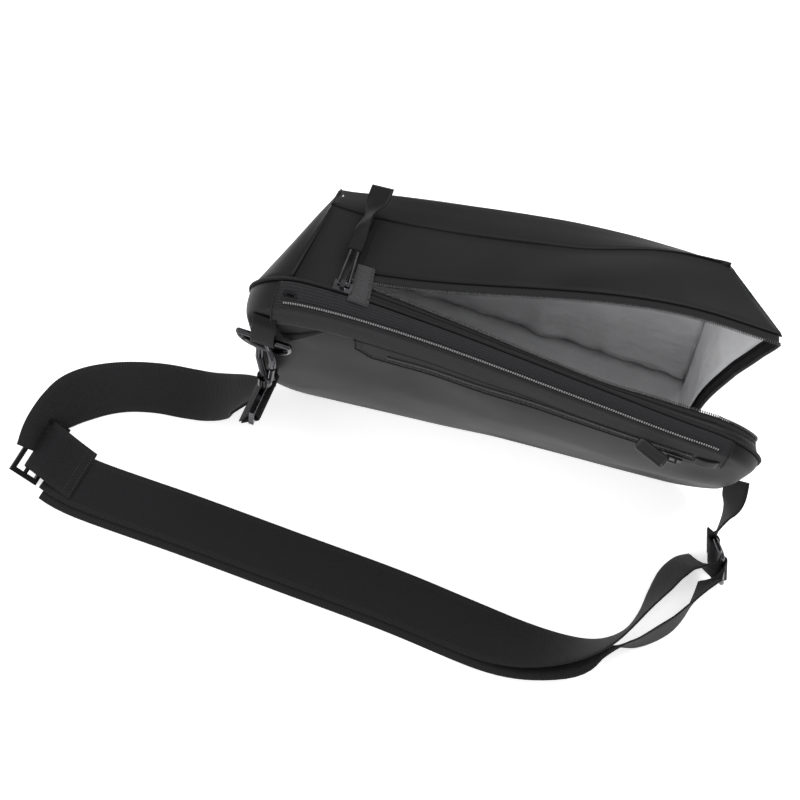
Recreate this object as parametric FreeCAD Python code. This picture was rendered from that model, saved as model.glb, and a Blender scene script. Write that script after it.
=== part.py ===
import FreeCAD, Part
import math
import os

# Sling bag, lying on its long bottom side. Millimetres, +Z up.
# Origin: centre of the bottom face. +X runs along the bag, -Y is the wearer's side.
# The main compartment is shown unzipped: its front shell leans out by OPEN_DEG.

HEIGHT = 190.0            # floor to the top seam
HALF_LENGTH = 168.0       # half of the rear compartment's length
CORNER_R = 40.0           # rounded corners of the rear compartment
SEAM_Y = -50.0            # seam between the rear and the main compartment
BAND_BACK_Y = -59.0       # back edge of the rear compartment's band
PANEL_EDGE_Y = -61.0      # edge of the domed back panel
DOME = 9.5                # how far the back panel bulges
DOME_MID_Z = 88.0
DOME_HALF_Z = 95.0
PANEL_HALF = 165.0        # half length of the back panel
PANEL_LOW, PANEL_HIGH = 3.0, 183.5
PANEL_CORNER_R = 37.0
FOAM_HALF = 140.0         # the panel's foam is smaller all round
FOAM_LOW, FOAM_HIGH = 14.0, 170.0
FOAM_CORNER_R = 24.0
FOAM_T = 2.8
PIPING_R = 1.0            # the piping stands out this far round the seam
BACK_ZIP_HALF = 142.0     # half length of the rear compartment's zip
POCKET_X = (-92.0, 132.0) # the pocket's strip on the back panel
POCKET_TOP_Z = 177.0
POCKET_ZIP_Z = 163.0
POCKET_ZIP_X = (-64.0, 126.0)
FRONT_Y = 38.0            # bottom front edge of the main compartment
SKIN = 1.6                # coated fabric with its backing
LINING = 0.5
OPEN_DEG = 13.3           # lean of the front shell when unzipped
HINGE_Z = 2.0             # the front shell turns about the bottom front edge
LEFT_X = -133.0           # left end of the main compartment's front
RIGHT_X = 128.0           # right end of the main compartment's front
MID_FROM_X, MID_TO_X = -60.0, 29.5
RIGHT_FROM_X = 30.5
LIP_FRONT_Y = -36.0       # edge of the front shell's zipped lip, closed
LIP_REAR_Y = -45.2        # edge of the fixed strip behind the main zip
ZIP_START_X = -111.0
ZIP_END_X = 156.0
COIL_W = 2.0
COIL_H = 2.0
MAIN_SLIDER_X = -107.5
PULL_LIFT_DEG = 11.5      # the pull lies on the top gusset and rides over the leaning lip
WEBBING_W = 38.0
WEBBING_T = 1.6

V = FreeCAD.Vector
X_AXIS = V(1, 0, 0)
os.makedirs("parts", exist_ok=True)


def save(shape, node):
    shape.exportStep("parts/%s.step" % node)


def box(x0, x1, y0, y1, z0, z1):
    return Part.makeBox(x1 - x0, y1 - y0, z1 - z0, V(x0, y0, z0))


def rod(start, end, radius):
    axis = end - start
    return Part.makeCylinder(radius, axis.Length, start, axis)


def triangle(a, b, c):
    face = Part.Face(Part.makePolygon([a, b, c, a]))
    if face.normalAt(0, 0).dot((b - a).cross(c - a)) < 0:
        face.reverse()
    return face


def slab(rows, columns, point):
    """Closed solid between two skins: point(row, column, side) with side 0 or 1."""
    faces = []

    def patch(a, b, c, d):
        faces.append(triangle(a, b, c))
        faces.append(triangle(a, c, d))

    for i in range(len(rows) - 1):
        for j in range(len(columns) - 1):
            low, high = [], []
            for r, c in ((i, j), (i + 1, j), (i + 1, j + 1), (i, j + 1)):
                low.append(point(rows[r], columns[c], 0))
                high.append(point(rows[r], columns[c], 1))
            patch(*low)
            patch(high[0], high[3], high[2], high[1])

    def wall(start, end):
        patch(point(start[0], start[1], 0), point(end[0], end[1], 0),
              point(end[0], end[1], 1), point(start[0], start[1], 1))

    for a, b in zip(rows, rows[1:]):
        wall((b, columns[0]), (a, columns[0]))
        wall((a, columns[-1]), (b, columns[-1]))
    for a, b in zip(columns, columns[1:]):
        wall((rows[0], a), (rows[0], b))
        wall((rows[-1], b), (rows[-1], a))
    solid = Part.makeSolid(Part.makeShell(faces))
    if solid.Volume < 0:
        solid = Part.makeSolid(Part.makeShell([face.reversed() for face in faces]))
    return solid


def spread(low, high, count):
    return [low + (high - low) * i / count for i in range(count + 1)]


def quad_slab(a, b, c, d, offset):
    """Slab on the four-sided patch a-b-c-d; the second skin is moved by offset."""
    def point(u, v, side):
        low = a + (b - a) * u
        high = d + (c - d) * u
        p = low + (high - low) * v
        return p + offset * side
    return slab([0.0, 0.5, 1.0], [0.0, 0.5, 1.0], point)


def rounded_wire(half, low, high, radius, y):
    """Rounded rectangle in the XZ plane at the given y."""
    k = radius * (1 - math.sqrt(0.5))
    corners = ((half, low, 1, -1), (half, high, 1, 1), (-half, high, -1, 1), (-half, low, -1, -1))
    edges = []
    ends = []
    for cx, cz, sx, sz in corners:
        side = V(cx, y, cz - sz * radius)
        flat = V(cx - sx * radius, y, cz)
        middle = V(cx - sx * k, y, cz - sz * k)
        if sx * sz > 0:
            ends.append((side, middle, flat))
        else:
            ends.append((flat, middle, side))
    for i, (start, middle, end) in enumerate(ends):
        edges.append(Part.Arc(start, middle, end).toShape())
        edges.append(Part.makeLine(end, ends[(i + 1) % 4][0]))
    return Part.Wire(edges)


def rounded_loft(half_a, low_a, high_a, r_a, y_a, half_b, low_b, high_b, r_b, y_b):
    wires = [rounded_wire(half_a, low_a, high_a, r_a, y_a), rounded_wire(half_b, low_b, high_b, r_b, y_b)]
    solid = Part.makeLoft(wires, True, True)
    if solid.Volume < 0:
        solid.reverse()
    return solid


# ---------------------------------------------------------------- rear compartment

def panel_y(x, z):
    """Outer face of the domed back panel."""
    rise = 1 - ((z - DOME_MID_Z) / DOME_HALF_Z) ** 2
    ends = 1 - 0.8 * (abs(x) / HALF_LENGTH) ** 8
    return PANEL_EDGE_Y - DOME * rise * ends


def panel_half(z, half, low, high, radius):
    """Half length of the rounded panel outline at height z."""
    from_edge = min(z - low, high - z)
    if from_edge >= radius:
        return half
    return half - radius + math.sqrt(max(0.0, radius ** 2 - (radius - from_edge) ** 2))


def panel_slab(half, low, high, radius, outer, inner):
    """Slab that follows the back panel, between two offsets from its outer face."""
    rows = [low + (high - low) * (0.5 - 0.5 * math.cos(math.pi * t)) for t in spread(0.03, 0.97, 12)]

    def point(z, u, side):
        x = u * panel_half(z, half, low, high, radius)
        return V(x, panel_y(x, z) + (inner if side else outer), z)
    return slab(rows, spread(-1, 1, 16), point)


def panel_patch(x0, x1, z0_left, z0_right, z1, outer, inner):
    """Flat-lying strip on the back panel; its lower edge may slope."""
    def point(x, t, side):
        low = z0_left + (z0_right - z0_left) * (x - x0) / (x1 - x0)
        z = low + (z1 - low) * t
        return V(x, panel_y(x, z) + (inner if side else outer), z)
    return slab(spread(x0, x1, 8), spread(0, 1, 2), point)


def rear_compartment():
    save(panel_slab(PANEL_HALF, PANEL_LOW, PANEL_HIGH, PANEL_CORNER_R, 0, SKIN), "back_panel")
    foam_y = SKIN + 1.2
    foam = panel_slab(FOAM_HALF, FOAM_LOW, FOAM_HIGH, FOAM_CORNER_R, foam_y, foam_y + FOAM_T)
    save(foam, "back_panel_foam")
    save(gusset_band(), "rear_gusset_band")
    low, high = 4.0, HEIGHT - 4
    divider = rounded_loft(HALF_LENGTH - 3.5, low, high, PANEL_CORNER_R, SEAM_Y - 0.2,
                           HALF_LENGTH - 3.5, low, high, PANEL_CORNER_R, SEAM_Y + 1.0)
    save(divider, "divider_panel")
    save(seam_piping(), "seam_piping")
    back_zip()


def gusset_band():
    """Band round the rear compartment, from the seam in to the back panel, with a gap for its zip."""
    half, low, high = HALF_LENGTH, 1.2, HEIGHT - 0.5
    outer = rounded_loft(half, low, high, CORNER_R, SEAM_Y - 0.9,
                         PANEL_HALF, PANEL_LOW - 0.5, PANEL_HIGH + 0.5, PANEL_CORNER_R, BAND_BACK_Y)
    inner = rounded_loft(half - SKIN, low + SKIN, high - SKIN, CORNER_R - SKIN, SEAM_Y - 0.8,
                         PANEL_HALF - SKIN, PANEL_LOW - 0.5 + SKIN, PANEL_HIGH + 0.5 - SKIN,
                         PANEL_CORNER_R - SKIN, BAND_BACK_Y - 0.1)
    gap = BACK_ZIP_HALF + 1.5
    return outer.cut(inner).cut(box(-gap, gap, -57.6, -53.6, HEIGHT - 20, HEIGHT + 5))


def seam_piping():
    """Piping all round the seam between the two compartments."""
    half, low, high = HALF_LENGTH + PIPING_R, 0.4, HEIGHT + 0.4
    inset = 4 * PIPING_R
    ring = rounded_loft(half, low, high, CORNER_R, SEAM_Y - 0.7, half, low, high, CORNER_R, SEAM_Y + 0.8)
    hole = rounded_loft(half - inset, low + 3.2, high - inset, CORNER_R - 2.5, SEAM_Y - 1,
                        half - inset, low + 3.2, high - inset, CORNER_R - 2.5, SEAM_Y + 1.1)
    return ring.cut(hole)


def back_zip():
    """Closed coil zip along the top of the band, with its slider at the left end."""
    half = BACK_ZIP_HALF
    save(box(-half - 1, half + 1, -57.4, -53.8, 184.6, 185.2), "compartment_zip_tape")
    save(box(-half, half, -56.6, -54.8, 185.5, 187.1), "compartment_zip_coil")
    plate = box(-141, -131.5, -57.3, -53.9, 187.5, 189.1)
    bail = box(-138.5, -134, -56.4, -54.8, 189.1, 190.9).cut(box(-137.3, -135.2, -57, -54, 189.1, 190.1))
    save(plate.fuse(bail), "compartment_zip_slider")


PULL_TAB_LENGTH, PULL_TAB_WIDTH, PULL_TAB_T = 24.0, 8.5, 2.2
PULL_TAB_END = V(112.5, -75.0, 166.8)      # middle of the tab's end at the slider
PULL_TAB_ALONG = V(-0.87, 0.20, 0.45)      # the tab leans back over the strip
PULL_TAB_FACE = V(0.38, -0.30, 0.87)       # and turns its face up


def pocket_pull_tab():
    """Moulded tab on the pocket slider; it hinges on the line across its end."""
    tab = Part.makeBox(PULL_TAB_LENGTH, PULL_TAB_WIDTH, PULL_TAB_T, V(0, -PULL_TAB_WIDTH / 2, -PULL_TAB_T / 2))
    tab = tab.makeFillet(0.8, tab.Edges)
    across = PULL_TAB_ALONG.cross(PULL_TAB_FACE)
    turn = FreeCAD.Rotation(PULL_TAB_ALONG, across, V(0, 0, 0), "XYZ")
    tab.Placement = FreeCAD.Placement(PULL_TAB_END, turn)
    return tab


def wearer_side_pocket():
    x0, x1 = POCKET_X
    zip_x0, zip_x1 = POCKET_ZIP_X
    z = POCKET_ZIP_Z
    save(panel_patch(x0, x1, 148, 154, POCKET_TOP_Z, -1.2, -0.4), "pocket_strip")
    save(panel_patch(zip_x0 - 2, zip_x1 + 2, z - 5, z - 5, z + 5, -2.0, -1.5), "pocket_zip_tape")
    save(panel_patch(zip_x0, zip_x1, z - 1, z - 1, z + 1, -3.4, -2.3), "pocket_zip_coil")
    save(panel_patch(zip_x1 + 4, zip_x1 + 16, z - 6, z - 6, z + 7, -3.0, -1.6), "pocket_zip_end_patch")
    save(box(x0 + 4, x1 - 6, -55.6, -54.8, 60, z + 5), "pocket_bag")
    body = box(zip_x1 - 14, zip_x1 - 4, -70.0, -68.4, z - 2.6, z + 2.6)
    bail = box(zip_x1 - 13, zip_x1 - 7, -72.4, -70.0, z - 0.8, z + 0.8)
    bail = bail.cut(box(zip_x1 - 11.8, zip_x1 - 8.2, -71.3, -70.0, z - 1, z + 1))
    save(body.fuse(bail), "pocket_zip_slider")
    save(pocket_pull_tab(), "pocket_pull_tab")


# ---------------------------------------------------------------- main compartment, fixed part

def base_polygon(inset, z, height):
    corners = ((-157 + inset, -48.6 + inset), (160 - inset, -48.6 + inset),
               (RIGHT_X - 1 - inset, 35.6 - inset), (LEFT_X + 2 + inset, 35.6 - inset))
    points = [V(x, y, z) for x, y in corners]
    return Part.Face(Part.makePolygon(points + points[:1])).extrude(V(0, 0, height))


def front_edge_y(x):
    """Top front edge of the main compartment when it is zipped closed."""
    return 31 - 0.072 * (x + 100)


def facet_seam_y(x):
    """Seam between the top gusset and the front facet; it runs out at the right end."""
    y = 7 - 0.05 * (x + 100)
    if x > 40:
        y += (x - 40) / 73 * (front_edge_y(113) - 2.5 - 7 + 0.05 * 213)
    return y


EDGE_Z = 178.0
FACET_Z = 188.5


def front_panel(x0, x1):
    def point(x, t, side):
        z = 3.5 + (EDGE_Z - 2.2 - 3.5) * t
        y = FRONT_Y + (front_edge_y(x) - FRONT_Y) * t
        return V(x, y - SKIN * side, z)
    return slab(spread(x0, x1, 3), spread(0, 1, 3), point)


def front_facet(x0, x1):
    def point(x, t, side):
        y = front_edge_y(x) + (facet_seam_y(x) - front_edge_y(x)) * t
        z = EDGE_Z + 0.3 + (FACET_Z - EDGE_Z) * t
        return V(x, y - 0.5 * side, z - SKIN * side)
    return slab(spread(x0, x1, 3), [0.0, 1.0], point)


def top_gusset(x0, x1, lip_y):
    def point(x, t, side):
        seam = facet_seam_y(x) if x <= 113 else front_edge_y(x)
        seam_z = FACET_Z + 0.4 if x <= 113 else EDGE_Z + 2 + (160 - x) * 0.15
        y = lip_y + (seam - 0.6 - lip_y) * t
        z = HEIGHT + (seam_z - HEIGHT) * t
        return V(x, y, z - SKIN * side)
    return slab(spread(x0, x1, 4), spread(0, 1, 2), point)


def front_lining(x0, x1):
    def point(x, t, side):
        z = 7 + 165 * t
        y = FRONT_Y + (front_edge_y(x) - FRONT_Y) * t
        return V(x, y - 2.4 - LINING * side, z)
    return slab(spread(x0, x1, 3), spread(0, 1, 3), point)


def front_tape(x0, x1):
    return box(x0, x1, -35.2, -29.0, 187.0, 187.6)


def front_coil(x0, x1):
    return box(x0, x1, -37.4, -35.4, 188.4, 190.4)


def main_compartment():
    save(base_polygon(0, 0, SKIN), "bottom_panel")
    save(base_polygon(4, 2.0, 2.0), "base_board")
    save(base_polygon(6.5, 4.4, LINING), "lining_bottom")
    save(box(-150, 150, -48.5, -48.0, 6, 184), "lining_rear")
    left_end = quad_slab(V(-157, -48, 2.2), V(LEFT_X + 0.5, 35.5, 2.2),
                         V(LEFT_X - 0.5, 22, 177), V(-151, -48, 186), V(SKIN, 0, 0))
    save(left_end, "left_end_gusset")
    right_strip = quad_slab(V(161, -48.4, 2.2), V(160.2, -38.5, 2.2),
                            V(157.6, -38.5, 187), V(158.6, -48.4, 187), V(-SKIN, 0, 0))
    save(right_strip, "right_end_strip")
    save(box(ZIP_START_X - 1, 157, -48.6, LIP_REAR_Y, HEIGHT - SKIN, HEIGHT), "rear_top_strip")
    save(top_gusset(-138, -112.6, -47.5), "top_gusset_end")
    save(front_panel(LEFT_X + 1.5, MID_FROM_X - 1), "front_panel_left")
    save(front_facet(LEFT_X + 1.5, MID_FROM_X - 1), "front_facet_left")
    save(top_gusset(-112, MID_FROM_X - 1, LIP_FRONT_Y + 1), "top_gusset_left")


def main_zip_fixed_side():
    top = box(ZIP_START_X, 154.5, -42.2, -42.2 + COIL_W, 188.4, 188.4 + COIL_H)
    end = box(154.6, 156.6, -37.6, -35.6, 14, 186)
    save(Part.makeCompound([top, end]), "main_zip_coil_rear")
    save(box(ZIP_START_X, ZIP_END_X, -48.0, -42.4, 187.0, 187.6), "main_zip_tape_rear")
    save(front_coil(ZIP_START_X, MID_FROM_X - 1), "main_zip_coil_left")
    save(box(-99, -86, -45.0, -24.5, 191.0, 192.3), "zip_bridge_strip")


def lean_out(shape, degrees):
    shape.rotate(V(0, FRONT_Y, HINGE_Z), X_AXIS, -degrees)
    return shape


def front_shell_middle():
    lean = OPEN_DEG / 2
    save(lean_out(front_panel(MID_FROM_X, MID_TO_X), lean), "front_panel_middle")
    save(lean_out(front_facet(MID_FROM_X, MID_TO_X), lean), "front_facet_middle")
    save(lean_out(top_gusset(MID_FROM_X, MID_TO_X, LIP_FRONT_Y + 1), lean), "top_gusset_middle")
    save(lean_out(front_lining(MID_FROM_X + 2, MID_TO_X - 2), lean), "lining_front_middle")
    save(lean_out(front_tape(MID_FROM_X, MID_TO_X), lean), "main_zip_tape_middle")
    save(lean_out(front_coil(MID_FROM_X, MID_TO_X), lean), "main_zip_coil_middle")


def front_shell_right():
    x0 = RIGHT_FROM_X
    save(lean_out(front_panel(x0, RIGHT_X - 1.8), OPEN_DEG), "front_panel_right")
    save(lean_out(front_facet(x0, 112), OPEN_DEG), "front_facet_right")
    save(lean_out(top_gusset(x0, RIGHT_X - 1, LIP_FRONT_Y + 1), OPEN_DEG), "top_gusset_right")
    save(lean_out(front_lining(x0 + 2, RIGHT_X - 5), OPEN_DEG), "lining_front_right")
    save(lean_out(front_tape(x0, RIGHT_X - 1), OPEN_DEG), "main_zip_tape_right")
    top = front_coil(x0, RIGHT_X + 12)
    end = box(154.6, 156.6, -34.0, -32.0, 14, 184)
    save(lean_out(Part.makeCompound([top, end]), OPEN_DEG), "main_zip_coil_right")
    gusset = quad_slab(V(158.5, -31.5, 6), V(RIGHT_X + 0.5, 36, 6),
                       V(RIGHT_X + 0.5, 14, EDGE_Z), V(157.5, -31.5, 187), V(-SKIN, 0, 0))
    save(lean_out(gusset, OPEN_DEG), "right_end_gusset")
    corner = quad_slab(V(RIGHT_X - 0.4, -35, 190), V(155, -34.6, 190),
                       V(RIGHT_X + 2.5, 10, 183), V(RIGHT_X - 0.4, 12, 181), V(0, 0, -SKIN))
    save(lean_out(corner, OPEN_DEG), "top_gusset_corner")


# ---------------------------------------------------------------- main zip slider and pull

PULL_Y, PULL_Z = -40.6, 194.0     # the wire pull turns on this line


def main_slider():
    x0, x1 = MAIN_SLIDER_X - 6, MAIN_SLIDER_X + 6
    y0, y1 = -44.7, -38.1
    top = box(x0, x1, y0, y1, 190.9, 192.3)
    bottom = box(x0, x1, y0, y1, 185.2, 186.4)
    wall = box(x0 + 1.5, x1 - 1.5, -39.5, y1, 186.4, 190.9)
    lug = box(MAIN_SLIDER_X - 1.5, MAIN_SLIDER_X + 1.5, PULL_Y - 2.4, PULL_Y + 2.4, 192.3, 196.0)
    hole = rod(V(MAIN_SLIDER_X - 2, PULL_Y, PULL_Z), V(MAIN_SLIDER_X + 2, PULL_Y, PULL_Z), 1.1)
    save(top.fuse([bottom, wall, lug]).cut(hole), "main_zip_slider")


def lay_pull(shape):
    shape.rotate(V(0, PULL_Y, PULL_Z), X_AXIS, PULL_LIFT_DEG)
    return shape


def main_pull():
    r = 0.75
    near = [V(MAIN_SLIDER_X - 3.4, PULL_Y, PULL_Z), V(MAIN_SLIDER_X + 3.4, PULL_Y, PULL_Z)]
    far = [V(MAIN_SLIDER_X - 2.2, PULL_Y + 26, PULL_Z), V(MAIN_SLIDER_X + 2.2, PULL_Y + 26, PULL_Z)]
    wire = rod(near[0], near[1], r)
    wire = wire.fuse([rod(near[0], far[0], r), rod(near[1], far[1], r), rod(far[0], far[1], r)])
    wire = wire.fuse([Part.makeSphere(r, p) for p in near + far])
    save(lay_pull(wire), "main_zip_pull_wire")
    y0 = PULL_Y + 23.5
    x0, x1 = MAIN_SLIDER_X - 5.5, MAIN_SLIDER_X + 5.5
    tab = box(x0, x1, y0, y0 + 42, PULL_Z - 2.1, PULL_Z + 2.1)
    slot = box(x0 - 1, x1 + 1, y0 - 1, y0 + 5, PULL_Z - 1.05, PULL_Z + 1.05)
    save(lay_pull(tab.cut(slot)), "main_zip_pull_tab")


# ---------------------------------------------------------------- strap hardware

LOOP_BAR = V(-150.0, -77.0, 147.0)     # D-ring bar inside its webbing loop
RING_R = 2.0


def d_ring():
    bar_half = 17.0
    left = LOOP_BAR + V(-bar_half, 0, 0)
    right = LOOP_BAR + V(bar_half, 0, 0)
    arc_r = bar_half
    down = 4.0
    pieces = [rod(left, right, RING_R)]
    pieces.append(rod(right, right + V(0, 0, -down), RING_R))
    pieces.append(rod(left, left + V(0, 0, -down), RING_R))
    pieces += [Part.makeSphere(RING_R, p) for p in (left, right)]
    centre = LOOP_BAR + V(0, 0, -down)
    half_ring = Part.makeTorus(arc_r, RING_R, centre, V(0, 1, 0))
    keep = box(centre.x - 30, centre.x + 30, centre.y - 9, centre.y + 9, centre.z - 30, centre.z)
    pieces.append(half_ring.common(keep))
    return pieces[0].fuse(pieces[1:])


def webbing_ring_holder():
    """Folded webbing tab that holds the D-ring against the rear compartment's end."""
    outer = Part.makeCylinder(RING_R + 2.1, 26, LOOP_BAR + V(-13, 0, 0), X_AXIS)
    bore = Part.makeCylinder(RING_R + 0.5, 26, LOOP_BAR + V(-13, 0, 0), X_AXIS)
    x0, x1 = LOOP_BAR.x - 13, LOOP_BAR.x + 13
    y, z = LOOP_BAR.y, LOOP_BAR.z
    tail = quad_slab(V(x0, y - 1.4, z + 3), V(x1, y - 1.4, z + 3),
                     V(x1, PANEL_EDGE_Y - 6.5, z + 22), V(x0, PANEL_EDGE_Y - 6.5, z + 22), V(0, 2.4, 0))
    return outer.cut(bore).fuse(tail.cut(bore))


HOOK_TOP = V(-150.0, -77.0, 126.0)     # where the hook hangs on the D-ring
HOOK_LEAN_DEG = 19.0                   # outward lean of the hook
HOOK_TURN_DEG = 46.0                   # the hook is turned in the ring, half flat to the panel
HOOK_R = 2.6


def hang(shape):
    """Turn a shape drawn hanging straight down from HOOK_TOP into the hook's lean."""
    shape.rotate(HOOK_TOP, X_AXIS, -HOOK_LEAN_DEG)
    return shape


def snap_hook():
    """The hook lies in a plane across the D-ring's wire, so it is drawn in the YZ plane."""
    bow_r = 9.6
    centre = HOOK_TOP + V(0, 0, -bow_r + 6.2)
    bow = Part.makeTorus(bow_r, HOOK_R, centre, X_AXIS)
    bow = bow.common(box(centre.x - 9, centre.x + 9, centre.y - 20, centre.y + 20, centre.z, centre.z + 20))
    back_top = centre + V(0, bow_r, 0)
    back_low = centre + V(0, bow_r, -18)
    tip_top = centre + V(0, -bow_r, 0)
    tip_low = centre + V(0, -bow_r, -4)
    shoulder = centre + V(0, 0, -30)
    pieces = [bow, rod(back_top, back_low, HOOK_R), rod(tip_top, tip_low, HOOK_R)]
    pieces.append(rod(back_low, shoulder, HOOK_R))
    pieces.append(Part.makeSphere(HOOK_R, back_low))
    collar = Part.makeCylinder(5.2, 8, centre + V(0, 0, -36), V(0, 0, 1))
    pieces.append(collar)
    pieces.append(rod(centre + V(0, -6.4, -25.5), centre + V(0, -1.0, -30), 2.2))
    hook = pieces[0].fuse(pieces[1:])
    hook = hook.cut(Part.makeCylinder(2.3, 9, centre + V(0, 0, -36.5), V(0, 0, 1)))
    pivot = centre + V(0, -bow_r + 1.6, -21.5)
    gate = rod(centre + V(0, -bow_r, -7.2), pivot, 2.0)
    gate = gate.fuse(rod(pivot - V(2.8, 0, 0), pivot + V(2.8, 0, 0), 1.5))
    for shape in (hook, gate):
        shape.rotate(HOOK_TOP, V(0, 0, 1), HOOK_TURN_DEG)
    return hang(hook), hang(gate), centre


EYE_TOP = -41.0                        # top of the swivel eye, below the hook's bow centre
EYE_BAR = EYE_TOP - 12.3               # the eye's lower bar, which carries the strap


def swivel_eye(centre):
    """Turning eye under the hook: a pin and a flat loop for the webbing, its bar along Y."""
    pin = Part.makeCylinder(1.9, 12, centre + V(0, 0, EYE_TOP), V(0, 0, 1))
    top = centre.z + EYE_TOP
    half = 20.5
    x, y = centre.x, centre.y
    outer = box(x - 1.8, x + 1.8, y - half - 3, y + half + 3, top - 14, top)
    window = box(x - 3, x + 3, y - half, y + half, top - 10.6, top - 3.4)
    return hang(pin.fuse(outer.cut(window)))


def strap_end_loop(centre):
    """Webbing sewn round the eye's bar, with a short tail toward the strap."""
    bar = centre + V(0, -WEBBING_W / 2, EYE_BAR)
    outer = Part.makeCylinder(4.5, WEBBING_W, bar, V(0, 1, 0))
    bore = Part.makeCylinder(2.9, WEBBING_W, bar, V(0, 1, 0))
    tail = Part.makeBox(3.3, WEBBING_W, 13, bar + V(-1.65, 0, -16))
    tail.rotate(bar, V(0, 1, 0), 38)
    return hang(outer.fuse(tail).cut(bore))


def ribbon(points, across, faces, width, thickness):
    """Flat webbing: centre points, with unit vectors across it and out of its face."""
    def point(i, u, side):
        return points[i] + across[i] * (u * width / 2) + faces[i] * (thickness * (side - 0.5))
    return slab(list(range(len(points))), [-1.0, 1.0], point)


def directions(points):
    result = []
    for i in range(len(points)):
        before = points[max(i - 1, 0)]
        after = points[min(i + 1, len(points) - 1)]
        result.append((after - before).normalize())
    return result


def centre_ribbon(stations):
    """Webbing through centre stations (x, y, z, turn), turn tipping its width off the level."""
    points = [V(s[0], s[1], s[2]) for s in stations]
    across, faces = [], []
    for along, s in zip(directions(points), stations):
        level = V(0, 0, 1).cross(along).normalize()
        normal = along.cross(level).normalize()
        turn = math.radians(s[3])
        across.append(level * math.cos(turn) + normal * math.sin(turn))
        faces.append(along.cross(across[-1]).normalize())
    return ribbon(points, across, faces, WEBBING_W, WEBBING_T)


def floor_ribbon(stations, z):
    """Webbing whose left edge runs at height z through (x, y, rise); rise lifts the right edge."""
    edge = [V(s[0], s[1], z) for s in stations]
    points, across, faces = [], [], []
    for p, along, s in zip(edge, directions(edge), stations):
        right = along.cross(V(0, 0, 1)).normalize()
        rise = math.radians(s[2])
        across.append(right * math.cos(rise) + V(0, 0, 1) * math.sin(rise))
        faces.append(V(0, 0, 1) * math.cos(rise) - right * math.sin(rise))
        points.append(p + across[-1] * (WEBBING_W / 2))
    return ribbon(points, across, faces, WEBBING_W, WEBBING_T)


LOWER_Z = 0.2 + WEBBING_T / 2
UPPER_Z = LOWER_Z + WEBBING_T + 0.5

# The strap is one webbing, doubled: both runs end at the right ring, where it turns back.
UPPER_RUN = [(-281, -160.6, 0), (-256, -165, 0), (-179, -165, 0), (-102, -166, 0), (-26, -167, 0),
             (30, -170, 0), (70, -172, 25), (102, -171, 55), (122, -166, 76), (136, -155, 88),
             (142, -140, 86), (144, -122, 74), (147, -106, 67), (154, -94, 66), (163, -88, 67)]
LOWER_RUN = [(-280, -167.4, 0), (-256, -171, 0), (-179, -171, 0), (-102, -172, 0), (-26, -173, 0),
             (30, -176, 0), (70, -179, 22), (102, -179, 50), (120, -172, 72), (134, -167, 86),
             (147, -163, 96), (159, -154, 101), (168, -143, 101), (173, -130, 97), (175, -115, 86),
             (175.5, -104, 74)]
HOOK_RUN = [(-292, -134.5, 1.1, 0), (-284, -124, 1.1, 0), (-268, -111, 1.1, 0), (-250, -103, 1.1, 0),
            (-232, -99, 1.6, 0), (-214, -97, 5.5, 0), (-199, -96.3, 13.5, -2), (-186, -95.5, 24.5, -5),
            (-173.5, -95, 38.5, -9), (-161.5, -94.5, 52.8, -13)]
ANCHOR_RUN = [(171, -37, 40, 63), (176.5, -43, 37, 63), (179.5, -52, 32, 63), (177, -62, 28, 63),
              (173.5, -71, 26.5, 64), (174, -77, 27.5, 66)]


RIGHT_RING_R = 1.7                     # wire radius of the ring
RIGHT_RING_HALF = (7.3, 21.9)          # half width and half length to the wire's centre
RIGHT_RING_CORNER = 4.0
RIGHT_RING_CENTRE = V(181.4, -90.7, 23.8)
RIGHT_RING_LONG = V(-0.257, 0.244, 0.935)      # stands on its end, leaning back
RIGHT_RING_SHORT = V(-0.521, 0.779, -0.347)


def right_ring():
    """Oblong wire ring between the anchor webbing and the strap, standing on its end."""
    half_w, half_l = RIGHT_RING_HALF
    r, bend = RIGHT_RING_R, RIGHT_RING_CORNER
    pieces = []
    for sx in (-1, 1):
        pieces.append(rod(V(sx * half_w, bend - half_l, 0), V(sx * half_w, half_l - bend, 0), r))
    for sy in (-1, 1):
        pieces.append(rod(V(bend - half_w, sy * half_l, 0), V(half_w - bend, sy * half_l, 0), r))
        for sx in (-1, 1):
            x, y = sx * (half_w - bend), sy * (half_l - bend)
            corner = box(min(x, x + sx * 9), max(x, x + sx * 9), min(y, y + sy * 9), max(y, y + sy * 9), -4, 4)
            pieces.append(Part.makeTorus(bend, r, V(x, y, 0), V(0, 0, 1)).common(corner))
    ring = pieces[0].fuse(pieces[1:])
    turn = FreeCAD.Rotation(RIGHT_RING_SHORT, RIGHT_RING_LONG, V(0, 0, 0), "XYZ")
    ring.Placement = FreeCAD.Placement(RIGHT_RING_CENTRE, turn)
    return ring


GLIDE_HALF = (12.0, 23.5)              # half width and half length of the slider's frame
GLIDE_WINDOW = (8.8, 19.6)
GLIDE_R = 1.6                          # middle bar, and half the frame's thickness
GLIDE_TILT_DEG = 45.0                  # its far side stands up off the floor
GLIDE_TURN_DEG = -10.0
GLIDE_AT = V(-298.0, -172.2, 10.6)


def tri_glide():
    """Slider for the strap length: a flat frame with a round middle bar."""
    half_w, half_l = GLIDE_HALF
    window_w, window_l = GLIDE_WINDOW
    r = GLIDE_R
    frame = box(-half_w, half_w, -half_l, half_l, -r, r)
    frame = frame.cut(box(-window_w, window_w, -window_l, window_l, -2 * r, 2 * r))
    frame = frame.makeFillet(1.0, [e for e in frame.Edges if e.Length > 45])
    frame = frame.fuse(rod(V(0, -window_l - 0.9, 0), V(0, window_l + 0.9, 0), r))
    frame.rotate(V(0, 0, 0), V(0, 1, 0), GLIDE_TILT_DEG)
    frame.rotate(V(0, 0, 0), V(0, 0, 1), GLIDE_TURN_DEG)
    frame.translate(GLIDE_AT)
    return frame


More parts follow.
